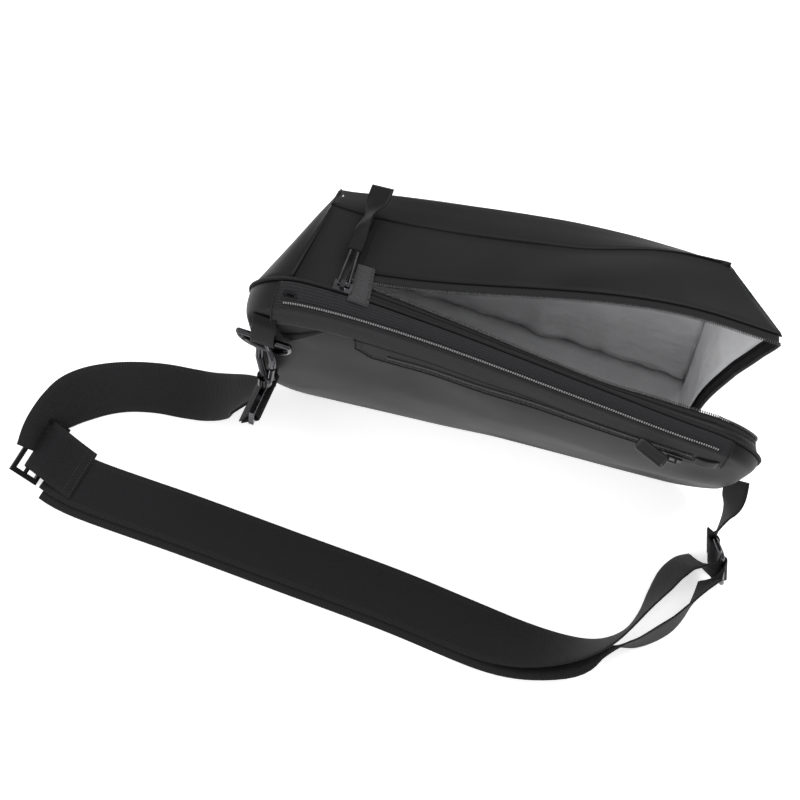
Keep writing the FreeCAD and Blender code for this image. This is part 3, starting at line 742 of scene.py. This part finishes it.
def left_end():
    """End gusset: from the rounded rear outline to the front shell's straight left edge."""
    rear = [Vector((x, seam_y(x, z) + 1.0, z)) for x, z in end_outline(-1, 40, 0.074)]
    facet_share = 0.12
    y0, z0 = facet_seam(LEFT_X)
    start = Vector((LEFT_X, y0, z0 - 0.9))
    stop = Vector((LEFT_X, edge_y(LEFT_X) - 1, EDGE_Z))
    front = []
    for s in steps(0, 1, 40):
        t = (s - facet_share) / (1 - facet_share)
        below = Vector((LEFT_X, mix(edge_y(LEFT_X), FRONT_Y, t), mix(EDGE_Z - 2, HINGE_Z, t)))
        front.append(start.lerp(stop, s / facet_share) if s < facet_share else below)

    def point(t, k):
        p = rear[k].lerp(front[k], t)
        return (p.x - 2.1 * sin(pi * t) * smooth(k / 6), p.y, p.z)

    end = cloth("left_end_cloth", [grid(steps(0, 1, 14), range(len(rear)), point)], IN_MAIN)
    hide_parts("left_end_gusset")
    tube_along("left_end_seam", [(x - 0.2, y, z) for x, y, z in front], 0.8)


def right_end_point(t, s):
    """The right end is unzipped: its front half swings with the front shell and folds inward."""
    z = mix(EDGE_Z, 3, s)
    front = Vector((right_x(z), mix(edge_y(TOP_RIGHT_X) - 1.4, FRONT_Y - 1, s), z))
    zip_z = mix(HIGH - 2.4, 8, s)
    p = front.lerp(Vector((zip_end_x(zip_z) - 0.4, LIP_SEAM_Y + 3.0, zip_z)), t)
    p.x += 1.5 * sin(pi * t) * sin(pi * s)
    return lean(p)


def right_end():
    rows = grid(steps(0, 1, 14), steps(0, 1, 28), right_end_point)
    end = cloth("right_end_cloth", [rows], IN_MAIN, END_T, body="front_right")
    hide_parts("right_end_gusset")


LIP_WIDTH = [(ZIP_X, 8.5), (-86, 8), (-19, 6), (59, 5), (96, 8), (130, 10), (160, 11)]      # along the bag
LIP_END_WIDTH = 10
LIP_TAPE_W = 5.0


def rear_lip():
    """Fixed side of the main zip: strip from the seam to the teeth, over the top and down the right end."""
    seam, path = [], []
    for x in steps(ZIP_X - 3, 132, 110):
        y = seam_y(x, HIGH)
        seam.append(Vector((x, y + 0.8, HIGH - 0.2)))
        path.append(Vector((x, y + through(LIP_WIDTH, x), HIGH - 0.5 - 1.2 * smooth((x + 60) / 120))))
    for k, (x, z) in enumerate(end_outline(1, 70)[4:60]):       # from the corner to just above the floor
        fade = smooth((k - 8) / 24)
        y = seam_y(x, z)
        seam.append(Vector((x, y + 0.8, z)))
        path.append(Vector((mix(x, zip_end_x(z) + 0.6, fade), y + LIP_END_WIDTH, z - 2 * (1 - fade))))
    inner = [p + (q - p) * min(LIP_TAPE_W / (q - p).length, 0.45) for p, q in zip(path, seam)]

    def point(t, k):
        p = seam[k].lerp(inner[k], t)
        p.z += 0.9 * sin(pi * t) * (1 if seam[k].z > 170 else 0.3)
        return p

    rows = grid((0, 0.2, 0.5, 0.8, 1.0), range(len(seam)), point)
    strip = cloth("rear_rim_strip", [rows], IN_RIM, END_T)
    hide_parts("rear_top_strip", "right_end_strip")
    ribbon, teeth = zip_side("rear", path, inner, (-0.1, 0.4, 1.0), 0.4, IN_RIM, (2.2, 0.4),
                             lambda p, out, along: (0, 0, 1) if p.z > 150 else (1, 0, 0), "bag")
    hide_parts("main_zip_tape_rear")
    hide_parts("main_zip_coil_rear")


# ---------------- lining and base

LINING_GAP = 4.5             # between shell and lining
INNER_LEFT_X = -150          # left end of the bottom, at the rear compartment


def front_lining_point(t, u):
    """Lining behind the front panel, creased, a few millimetres inside it."""
    z = mix(6, 173, t)
    x = mix(LEFT_X + 4, right_x(z) - 3, u)
    y = mix(FRONT_Y, edge_y(x), t) - LINING_GAP - abs(wrinkle((x, 0, z), 26, 7.0, 11.0))
    return lean((x, y, z))


def roof_lining_point(t, u):
    """Lining under the top gusset, from the facet seam to the zip tape."""
    x = mix(LEFT_X + 4, mix(TOP_RIGHT_X, ZIP_END_X, t) - 4, u)
    _, y, z = top_point(x, t)
    crease = abs(wrinkle((x, y, 0), 22, 4.0, 5.0)) * sin(pi * min(t, 0.9))
    return lean((x, y, z - LINING_GAP - crease))


def right_lining_point(t, s):
    z = mix(EDGE_Z - 5, 6, s)
    front = Vector((right_x(z) - 4, mix(edge_y(TOP_RIGHT_X) - 6, FRONT_Y - 6, s), z))
    zip_z = mix(HIGH - 6, 10, s)
    p = front.lerp(Vector((zip_end_x(zip_z) - 3.6, LIP_SEAM_Y + 3.0, zip_z)), t)
    p.x -= abs(wrinkle(p, 24, 4.0, 2.0)) * sin(pi * t)
    return lean(p)


def left_lining_point(t, z):
    x = mix(-146, -129, t) - 4 * (1 - t) * sin(pi * z / HIGH)
    return (x, mix(seam_y(-140, z) + 3, mix(FRONT_Y, 24, z / HIGH) - 6, t), z)


def bottom_lining_point(t, u):
    x = mix(mix(INNER_LEFT_X, LEFT_X + 3, t), RIGHT_X - 3, u)
    return (x, mix(seam_y(x, 5) + 2, FRONT_Y - 4, t), 5.2 + wrinkle((x, t * 60, 0), 25, 1.2))


def bottom_point(t, u):
    """Bottom panel, turned up a little along its border."""
    x = mix(mix(INNER_LEFT_X, LEFT_X, t), RIGHT_X + 1, u)
    border = min(t, 1 - t, u, 1 - u)
    return (x, mix(seam_y(x, 3), FRONT_Y, t), 0.1 + 2.6 * (1 - smooth(border / 0.08)))


def lining(name, grids, facing, body="bag"):
    return cloth(name, grids, facing, LINING_T, LINING, body)


def linings():
    """Satin lining of the main compartment, hanging a little loose inside the shell."""
    columns = steps(0, 1, 50)
    front = grid(steps(0, 1, 18), columns, front_lining_point)
    roof = front[-1:] + grid(steps(0, 0.97, 10), columns, roof_lining_point)
    skin = lining("front_lining_cloth", [front, roof], (0, 0, FAR), None)
    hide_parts("lining_front_middle", "lining_front_right")
    across_joint(skin)
    end = grid(steps(0, 1, 10), steps(0, 1, 24), right_lining_point)
    side = lining("right_end_lining", [end], (FAR, 0, 90), "front_right")
    rear = grid(steps(6, HIGH - 3, 16), steps(-138, 140, 40),
                lambda z, x: (x, seam_y(x, z) + 2.2 + wrinkle((x, 0, z), 30, 1.6, 9.0), z))
    back = lining("rear_lining_cloth", [rear], (0, -FAR, 90))
    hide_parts("lining_rear", "pocket_bag")
    left = grid(steps(0, 1, 8), steps(6, 183, 16), left_lining_point)
    side = lining("left_end_lining", [left], (-FAR, 0, 90))
    floor = grid(steps(0, 1, 10), steps(0, 1, 30), bottom_lining_point)
    bed = lining("bottom_lining_cloth", [floor], (0, 0, -FAR))
    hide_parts("lining_bottom")
    under = grid(steps(0, 1, 12), steps(0, 1, 30), bottom_point)
    base = cloth("bottom_cloth", [under], IN_MAIN, END_T)
    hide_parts("bottom_panel", "base_board")


# ---------------- main zip slider and pull

def bridge_point(t, u):
    """Strip over the zip's start: t from the front shell to the rear compartment, u along the bag."""
    z = HIGH + 3.0 - 1.6 * t - 0.5 * sin(pi * t) + 0.5 * sin(pi * u)
    return (mix(mix(-103.5, -102.5, t), mix(-92.5, -88.5, t), u), mix(-24.8, -48.5, t), z)


def zip_start():
    """Strip that bridges the zip's start, and the slider's hardware."""
    strip = grid(steps(0, 1, 8), steps(0, 1, 8), bridge_point)
    cover = cloth("zip_bridge_cloth", [strip], IN_MAIN, 1.2, STRIP)
    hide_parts("zip_bridge_strip")
    stitches("zip_bridge_stitches", [row[-2] for row in strip], 2.4, 0.3)
    for node in ("main_zip_slider", "main_zip_pull_wire"):
        repaint(node, GUNMETAL)
    for node in ("compartment_zip_slider", "pocket_zip_slider"):
        repaint(node, BLACK_METAL)


PULL_NARROW, PULL_WIDE = 4.6, 7.2        # half width of the pull at the wire and at its end


def pull_tab():
    """Folded webbing pull on the wire: a loop round the wire's end, then a soft twist."""
    low, high = (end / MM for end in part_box("main_zip_pull_tab"))
    centre = (low + high) / 2

    def layer(t, side):
        y = mix(low.y + 0.5, high.y - 1, t)
        z = mix(low.z + 2.4, high.z - 2.4, t) - 3.0 * t * t + 1.2 * sin(pi * t)
        turn = radians(4 + 44 * sin(pi * smooth((t - 0.15) / 0.7)) + 8 * t)
        drift = 3.0 * smooth((t - 0.3) / 0.5)
        half = mix(PULL_NARROW, PULL_WIDE, smooth((t - 0.4) / 0.5))
        z += side * mix(2.0, 1.0, smooth(t / 0.4))
        return [Vector((centre.x + drift + u * half * cos(turn), y, z + u * half * sin(turn)))
                for u in steps(-1, 1, 8)]

    top = [layer(t, 1) for t in steps(0, 1, 22)]
    bottom = [layer(t, -1) for t in steps(0, 1, 22)]
    nose = []
    for a in steps(pi / 2, pi * 1.5, 6):
        row = []
        for p, q in zip(top[0], bottom[0]):
            r = (p.z - q.z) / 2
            row.append((p + q) / 2 + Vector((0, r * cos(a), r * sin(a))))
        nose.append(row)
    nose[0], nose[-1] = top[0], bottom[0]
    tail = [top[-1], [(p + q) / 2 + Vector((0, 1.0, 0)) for p, q in zip(top[-1], bottom[-1])], bottom[-1]]
    layers = [top, bottom[::-1], nose, tail]
    tab = cloth("main_pull_webbing", layers, centre, 0.9, SHELL, "main_pull")
    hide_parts("main_zip_pull_tab")


# ---------------- wearer-side pocket

POCKET_X = -92               # left end of the pocket
POCKET_LOW = [(-92, 148), (-40, 152), (40, 157), (132, 163)]     # its lower edge, (x, z)
TAB_LENGTH, TAB_WIDTH, TAB_CORNER = 24.0, 8.5, 3.2
TAB_END = Vector((112.5, -75.0, 166.8))      # as in the CAD
TAB_ALONG = Vector((-0.87, 0.20, 0.45))
TAB_FACE = Vector((0.38, -0.30, 0.87))
TAB_RINGS = [(4.2, -0.85), (1.2, -1.05), (0.3, -0.85), (0, -0.4), (0, 0.4), (0.3, 0.9), (0.8, 1.1),
             (1.3, 1.0), (1.6, 0.62), (2.4, 0.55), (4.2, 0.55)]     # inset from the outline, and height


def pocket_edge(x, corner=1.0):
    """Height of the pocket's lower edge, rising into its cut-off corner at the left."""
    return through(POCKET_LOW, x) + 8 * (1 - smooth((x - POCKET_X) / 12)) * corner


def pocket():
    """Ribbed pocket strip let into the back panel, with its own coil zip."""
    rows = grid(steps(0, 1, 10), steps(POCKET_X, 140, 90),
                lambda t, x: on_back(x, mix(pocket_edge(x, 1 - t), outline_top(x) - 22, t), 0.9))
    strip = cloth("pocket_strip_cloth", [rows], IN_REAR, 0.5, BAND)
    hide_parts("pocket_strip", "pocket_zip_tape")
    end_top = outline_top(POCKET_X)
    end = [on_back(POCKET_X - 0.5, z, 0.9) for z in steps(end_top - 22, 157, 10)]
    welt = [on_back(x, pocket_edge(x) - 0.6, 0.9) for x in steps(POCKET_X, 128, 80)]
    tube_along("pocket_welt", end + welt, 0.75)
    inner_end = [on_back(-89.0, z, 1.1) for z in steps(end_top - 24, 160, 8)]
    inner = [on_back(x, pocket_edge(x) + 2.6, 1.1) for x in steps(-88, 126, 70)]
    stitches("pocket_stitches", inner_end + inner, 3.0, 0.3, (0, -1, 0.3))
    line = [on_back(x, through(POCKET_LOW, x) + 8.5, 1.5) for x in steps(-70, 127, 100)]
    frames = [(p, along, (0, -1, 0.25)) for p, along in spaced(line, 1.3)]
    coil = blocks("pocket_zip_teeth", frames, (0.85, 2.0, 1.2))
    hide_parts("pocket_zip_coil")
    patch = grid(steps(0, 1, 6), steps(0, 1, 8), lambda t, u: on_back(
        mix(129, 143, u), mix(156, 171, t) + 2 * u, 1.6 + 0.8 * sin(pi * u)))
    garage = cloth("pocket_zip_garage", [patch], IN_REAR, 1.0)
    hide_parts("pocket_zip_end_patch")


def moulded_tab():
    """Rubber tab of the pocket's slider: rounded, with a raised rim round a shallow panel."""
    across = TAB_ALONG.cross(TAB_FACE).normalized()
    rows = []
    for inset, height in TAB_RINGS:
        half_l, half_w = TAB_LENGTH / 2 - inset, TAB_WIDTH / 2 - inset
        corner = max(min(TAB_CORNER - inset, half_w), 0.02)
        ring = []
        for cx, cy, start in ((1, 1, 0), (-1, 1, 90), (-1, -1, 180), (1, -1, 270)):
            for a in steps(radians(start), radians(start + 90), 7):
                x = TAB_LENGTH / 2 + cx * (half_l - corner) + corner * cos(a)
                y = cy * (half_w - corner) + corner * sin(a)
                ring.append(TAB_END + TAB_ALONG * x + across * y + TAB_FACE * height)
        rows.append(ring + ring[:1])
    centre = TAB_END + TAB_ALONG * (TAB_LENGTH / 2)
    tab = cloth("pocket_tab", [rows], centre, 0, RUBBER, "pocket_tab")
    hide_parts("pocket_pull_tab")


# ---------------- strap

UP = Vector((0, 0, 1))
LOWER_Z = 0.2 + WEBBING_T / 2
UPPER_Z = LOWER_Z + WEBBING_T + 0.5
# Half of the webbing's section: shares of half its width and of half its thickness.
SELVEDGE = [(0.97, 0.8), (0.9, 1.0), (0.5, 1.0), (0, 1.0), (-0.5, 1.0), (-0.9, 1.0), (-0.97, 0.8)]
SECTION = [(-1, 0)] + SELVEDGE[::-1] + [(1, 0)] + [(a, -b) for a, b in SELVEDGE]

# Inner edge of each layer: x, y, rise of the outer edge in degrees.
UPPER_RUN = [(-281, -160.6, 0), (-256, -165, 0), (-179, -165, 0), (-102, -166, 0), (-26, -167, 0),
             (30, -170, 0), (70, -172, 25), (102, -171, 55), (122, -166, 76), (136, -155, 88),
             (142, -140, 86), (144, -122, 74), (147, -106, 67), (154, -94, 66), (163, -88, 67)]
LOWER_RUN = [(-280, -167.4, 0), (-256, -171, 0), (-179, -171, 0), (-102, -172, 0), (-26, -173, 0),
             (30, -176, 0), (70, -179, 22), (102, -179, 50), (120, -172, 72), (134, -167, 86),
             (147, -163, 96), (159, -154, 101), (168, -143, 101), (173, -130, 97), (175, -115, 86),
             (175.5, -104, 74)]
# Middle line: x, y, z, turn about the line. The hook run stands on its edge where it leaves the slider.
HOOK_RUN = [(-303, -176, 19.0, 80), (-303, -165, 20.0, 77), (-301, -154, 19.5, 70), (-296.5, -142, 16.5, 55),
            (-289, -129, 11.0, 34), (-276, -116, 4.6, 12), (-258, -106, 1.6, 2), (-236, -99.5, 1.6, 0),
            (-214, -97, 5.5, 0), (-199, -96.3, 13.5, -2), (-186, -95.5, 24.5, -5), (-173.5, -95, 38.5, -9),
            (-164, -95.8, 50.5, -13), (-157.5, -98, 62.5, -16)]
ANCHOR_RUN = [(175.1, -35.1, 40, 74), (177, -48.6, 36, 75), (176.6, -59.1, 32, 86), (174.2, -70.6, 29, 94)]

RING_BAR = Vector((-150.0, -77.0, 147.0))    # D-ring bar inside its webbing loop
RING_LOOP_W, RING_LOOP_R = 16.0, 3.3
HOOK_TOP = Vector((-150.0, -77.0, 126.0))
HOOK_LEAN_DEG = 19.0
EYE_BAR = -56.7                        # the swivel eye's lower bar, below HOOK_TOP
EYE_TURN_DEG = 38.0                    # the strap's end leaves the eye at this angle
EYE_LOOP_R = 3.8

# Slider for the strap's length, as in the CAD: the strap passes over its middle bar and back under.
GLIDE_AT = Vector((-298.0, -172.2, 0))
GLIDE_TURN_DEG = -10.0
GLIDE_SHIFT = 3.0                      # the strap sits toward the near end of the slider
GLIDE_SKEW = 0.12                      # and runs off it slightly askew
GLIDE_SEAMS = (("near", 29.0), ("far", 34.5))
GLIDE_SEAM_Z = 5.7
GLIDE_PASS = [(36, 4.8), (28, 4.9), (20, 6.6), (13, 10.2), (7, 13.2), (2, 13.8), (-1.4, 12.8), (-2.7, 10.8),
              (-1.6, 8.6), (1.2, 6.6), (4.6, 3.8), (9.0, 1.1), (18, 1.0)]   # distance across it, height

# Oblong ring at the other end: the strap turns back round one long side, the anchor round the other.
RING_AT = Vector((181.4, -90.7, 23.8))
RING_LONG = Vector((-0.257, 0.244, 0.935))
RING_SHORT = Vector((-0.521, 0.779, -0.347))
RING_FACE = Vector((0.813, 0.576, 0.073))
RING_HALF_W = 7.3
RING_TURN_R = 2.9                      # webbing's middle, round the ring's wire
RING_TURN_W = 0.86 * WEBBING_W         # the strap is gathered where it turns
LONG_STEP = 9.0                        # a longer step between stations gets one more in its middle


def finer(stations, count=6):
    """More stations on a smooth curve through the given ones."""
    result = []
    last = len(stations) - 1
    for i in range(last):
        around = [stations[max(min(k, last), 0)] for k in (i - 1, i, i + 1, i + 2)]
        for t in steps(0, 1, count)[:-1]:
            result.append(tuple(0.5 * (2 * b + (c - a) * t + (2 * a - 5 * b + 4 * c - d) * t ** 2
                                       + (3 * b - a - 3 * c + d) * t ** 3) for a, b, c, d in zip(*around)))
    return result + [tuple(stations[-1])]


def directions(points):
    last = len(points) - 1
    return [(points[min(i + 1, last)] - points[max(i - 1, 0)]).normalized() for i in range(last + 1)]


def edge_frames(stations, z):
    """Centre line, across and face directions of webbing whose inner edge is given."""
    stations = finer(stations)
    edge = [Vector((x, y, z)) for x, y, _ in stations]
    result = []
    for p, along, (_, _, rise) in zip(edge, directions(edge), stations):
        rise = radians(rise)
        across = along.cross(UP).normalized() * cos(rise) + UP * sin(rise)
        result.append((p + across * WEBBING_W / 2, across, across.cross(along)))
    return result


def centre_frames(stations):
    stations = finer(stations)
    points = [Vector(s[:3]) for s in stations]
    result = []
    for p, along, s in zip(points, directions(points), stations):
        level = UP.cross(along).normalized()
        turn = radians(s[3])
        across = level * cos(turn) + along.cross(level).normalized() * sin(turn)
        result.append((p, across, along.cross(across)))
    return result


def along_frames(points, across):
    """Frames through the points; across is one direction for all of them, or one for each."""
    if isinstance(across, Vector):
        across = [across.normalized()] * len(points)
    return [(p, w, along.cross(w).normalized()) for p, along, w in zip(points, directions(points), across)]


def webbing(name, frames, body="bag", width=WEBBING_W, thickness=WEBBING_T, material=WEBBING):
    """Flat webbing with rounded selvedges through (centre, across, face) frames."""
    points, faces, coords = [], [], []
    lengths = running([centre for centre, _, _ in frames])
    for centre, across, face in frames:
        points += [(centre + across * (a * width / 2) + face * (b * thickness / 2)) * MM for a, b in SECTION]
    n = len(SECTION)
    for i in range(len(frames) - 1):
        for k in range(n):
            m = (k + 1) % n
            faces.append((i * n + k, i * n + m, (i + 1) * n + m, (i + 1) * n + k))
            a0, a1 = ((SECTION[j][0] + 1) * width / 2 * MM for j in (k, m))
            coords += [(a0, lengths[i]), (a1, lengths[i]), (a1, lengths[i + 1]), (a0, lengths[i + 1])]
    faces.append(tuple(range(n))[::-1])
    faces.append(tuple((len(frames) - 1) * n + k for k in range(n)))
    coords += [(0, 0)] * (2 * n)
    return finish_piece(name, mesh_with_uv(name, points, faces, coords), material, body)


def ring_loop():
    """Webbing folded round the D-ring's bar and sewn into a dart of the back panel."""
    x, y, z = RING_BAR
    path = [on_back(x, z + 22, 0.8), (x, y + 3.4, z + 13), (x, y - 2.4, z + 5)]
    for a in steps(radians(150), radians(390), 10):
        path.append((x, y + RING_LOOP_R * cos(a), z + RING_LOOP_R * sin(a)))
    path += [(x, y + 4.0, z + 6), (x, y + 5.4, z + 10), on_back(x, z + 15, 0.8)]
    frames = along_frames([Vector(p) for p in path], Vector((1, 0, 0)))
    loop = webbing("d_ring_webbing", frames, "bag", RING_LOOP_W, 1.4, SHELL)
    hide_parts("d_ring_loop")

    def pleat(t, u):
        width, rise = mix(10, 1.5, t), mix(3.8, 0.3, t)
        return on_back(mix(-139, -108, t) + 0.34 * width * u, mix(142, 170, t) - 0.36 * width * u,
                       0.2 + rise * cos(pi / 2 * u))

    cloth("d_ring_pleat", [grid(steps(0, 1, 20), steps(-1, 1, 10), pleat)], IN_REAR, 0.9)


def glide_pass():
    """Strap through the slider, sewn down on the strap where it ends."""
    turn = radians(GLIDE_TURN_DEG)
    e1 = Vector((cos(turn), sin(turn), 0))
    e2 = Vector((-sin(turn), cos(turn), 0))
    points = [GLIDE_AT + e1 * a + e2 * (GLIDE_SHIFT - GLIDE_SKEW * max(a, 0)) + UP * z
              for a, z in finer(GLIDE_PASS, 4)]
    piece = webbing("slider_loop", along_frames(points, e2))
    for name, a in GLIDE_SEAMS:
        line = [GLIDE_AT + e1 * a + e2 * b + UP * GLIDE_SEAM_Z for b in steps(-17, 17, 20)]
        stitches("slider_loop_stitches_" + name, line, 2.2, 0.1)


def end_frames(start, points, finish=()):
    """Frames from start round points that hold RING_LONG as their width, to finish where there is one."""
    line = [start[0]] + [RING_AT + RING_SHORT * s + RING_FACE * f for s, f in points] + list(finish[:1])
    widths = [start[1]] + [RING_LONG.normalized()] * len(points) + list(finish[1:2])
    stations = []
    for i, (p, w) in enumerate(zip(line, widths)):
        if i and (p - line[i - 1]).length > LONG_STEP:
            stations.append((*((p + line[i - 1]) / 2), *((w + widths[i - 1]) / 2)))
        stations.append((*p, *w))
    rows = finer(stations, 5)
    return along_frames([Vector(row[:3]) for row in rows], [Vector(row[3:]).normalized() for row in rows])


def right_ring_loops(lower, upper, anchor):
    """The strap turns back through the ring, and the anchor's end is folded round its other side."""
    w, r = RING_HALF_W, RING_TURN_R
    path = [(-w, r), (-w + r, 0), (-w, -r)]
    turn = webbing("strap_ring_turn", end_frames(lower[-1], path, upper[-1]), width=RING_TURN_W)
    path = [(w + 5, -2.6), (w, -r), (w - r, 0), (w, r), (w + 5, 1.6), (w + 11, -1.2)]
    fold = webbing("anchor_fold", end_frames(anchor[-1], path))


def end_loop():
    """Strap end sewn round the swivel eye's bar."""
    lean_angle, turn = radians(HOOK_LEAN_DEG), radians(EYE_TURN_DEG)
    hang = Vector((0, sin(lean_angle), cos(lean_angle)))
    right = Vector((1, 0, 0))
    down = -right * sin(turn) - hang * cos(turn)
    side = right * cos(turn) - hang * sin(turn)
    path = [(15, 0.9), (6, 2.4)]
    path += [(-EYE_LOOP_R * sin(a), EYE_LOOP_R * cos(a)) for a in steps(0, pi, 12)]
    path += [(6, -2.4), (15, -0.9)]
    points = [HOOK_TOP + hang * EYE_BAR + down * a + side * b for a, b in path]
    loop = webbing("strap_end_webbing", along_frames(points, right.cross(-hang)), "hook_eye", WEBBING_W, 1.4)
    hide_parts("strap_end_loop")


def strap():
    upper_frames = edge_frames(UPPER_RUN, UPPER_Z)
    upper = webbing("strap_upper", upper_frames)
    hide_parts("strap_upper_run")
    lower_frames = edge_frames(LOWER_RUN, LOWER_Z)
    lower = webbing("strap_lower", lower_frames)
    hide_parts("strap_lower_run")
    hook_run = webbing("strap_to_hook", centre_frames(HOOK_RUN))
    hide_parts("strap_hook_run")
    anchor_frames = centre_frames(ANCHOR_RUN)
    anchor = webbing("anchor_strap", anchor_frames)
    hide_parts("anchor_webbing")
    right_ring_loops(lower_frames, upper_frames, anchor_frames)
    for node in ("d_ring", "snap_hook_body", "snap_hook_eye", "snap_hook_gate", "right_ring"):
        repaint(node, GUNMETAL)
    repaint("tri_glide", BLACK_METAL)


# ---------------- floor, light and camera

FLOOR_SIZE, FLOOR_Z = 12, -0.0006
LAMPS = (("key", (0.5, 0.9, 1.7), 1.2, 26), ("fill", (-1.2, -0.7, 1.4), 1.4, 12))   # place, size, power
LAMPS_AIM = Vector((0, -0.05, 0.1))
CAMERA_AT = Vector((26.82, -316.39, 1058.95)) * MM
CAMERA_AIM = Vector((-67.9, -48.9, 0)) * MM
LENS, SENSOR = 67.5, 36
WHITE = (1, 1, 1, 1)


def stand(name, data, at, aim):
    obj = added(name, data)
    obj.location = at
    obj.rotation_euler = (aim - Vector(at)).to_track_quat("-Z", "Y").to_euler()
    return obj


def studio():
    bpy.ops.mesh.primitive_plane_add(size=FLOOR_SIZE, location=(0, 0, FLOOR_Z))
    floor = bpy.context.object
    floor.name = "floor"
    paper = Surface("floor_paper", (0.9, 0.9, 0.9), 0.9)
    paper.inputs["Emission Color"].default_value = WHITE
    paper.inputs["Emission Strength"].default_value = 0.6
    floor.data.materials.append(paper.material)
    scene = bpy.context.scene
    scene.world = scene.world or bpy.data.worlds.new("World")
    scene.world.use_nodes = True
    background = scene.world.node_tree.nodes["Background"]
    background.inputs["Color"].default_value = WHITE
    background.inputs["Strength"].default_value = 0.55
    for name, at, size, power in LAMPS:
        light = bpy.data.lights.new(name, "AREA")
        light.size = size
        light.energy = power
        stand(name, light, at, LAMPS_AIM)
    camera = bpy.data.cameras.new("camera")
    camera.sensor_width = SENSOR
    camera.lens = LENS
    scene.camera = stand("camera", camera, CAMERA_AT, CAMERA_AIM)
    scene.view_settings.view_transform = "Standard"


for build in (rear_compartment, rear_band, front_shell, front_zip, left_end, right_end, rear_lip, linings,
              zip_start, pull_tab, pocket, moulded_tab, ring_loop, strap, glide_pass, end_loop, studio):
    build()
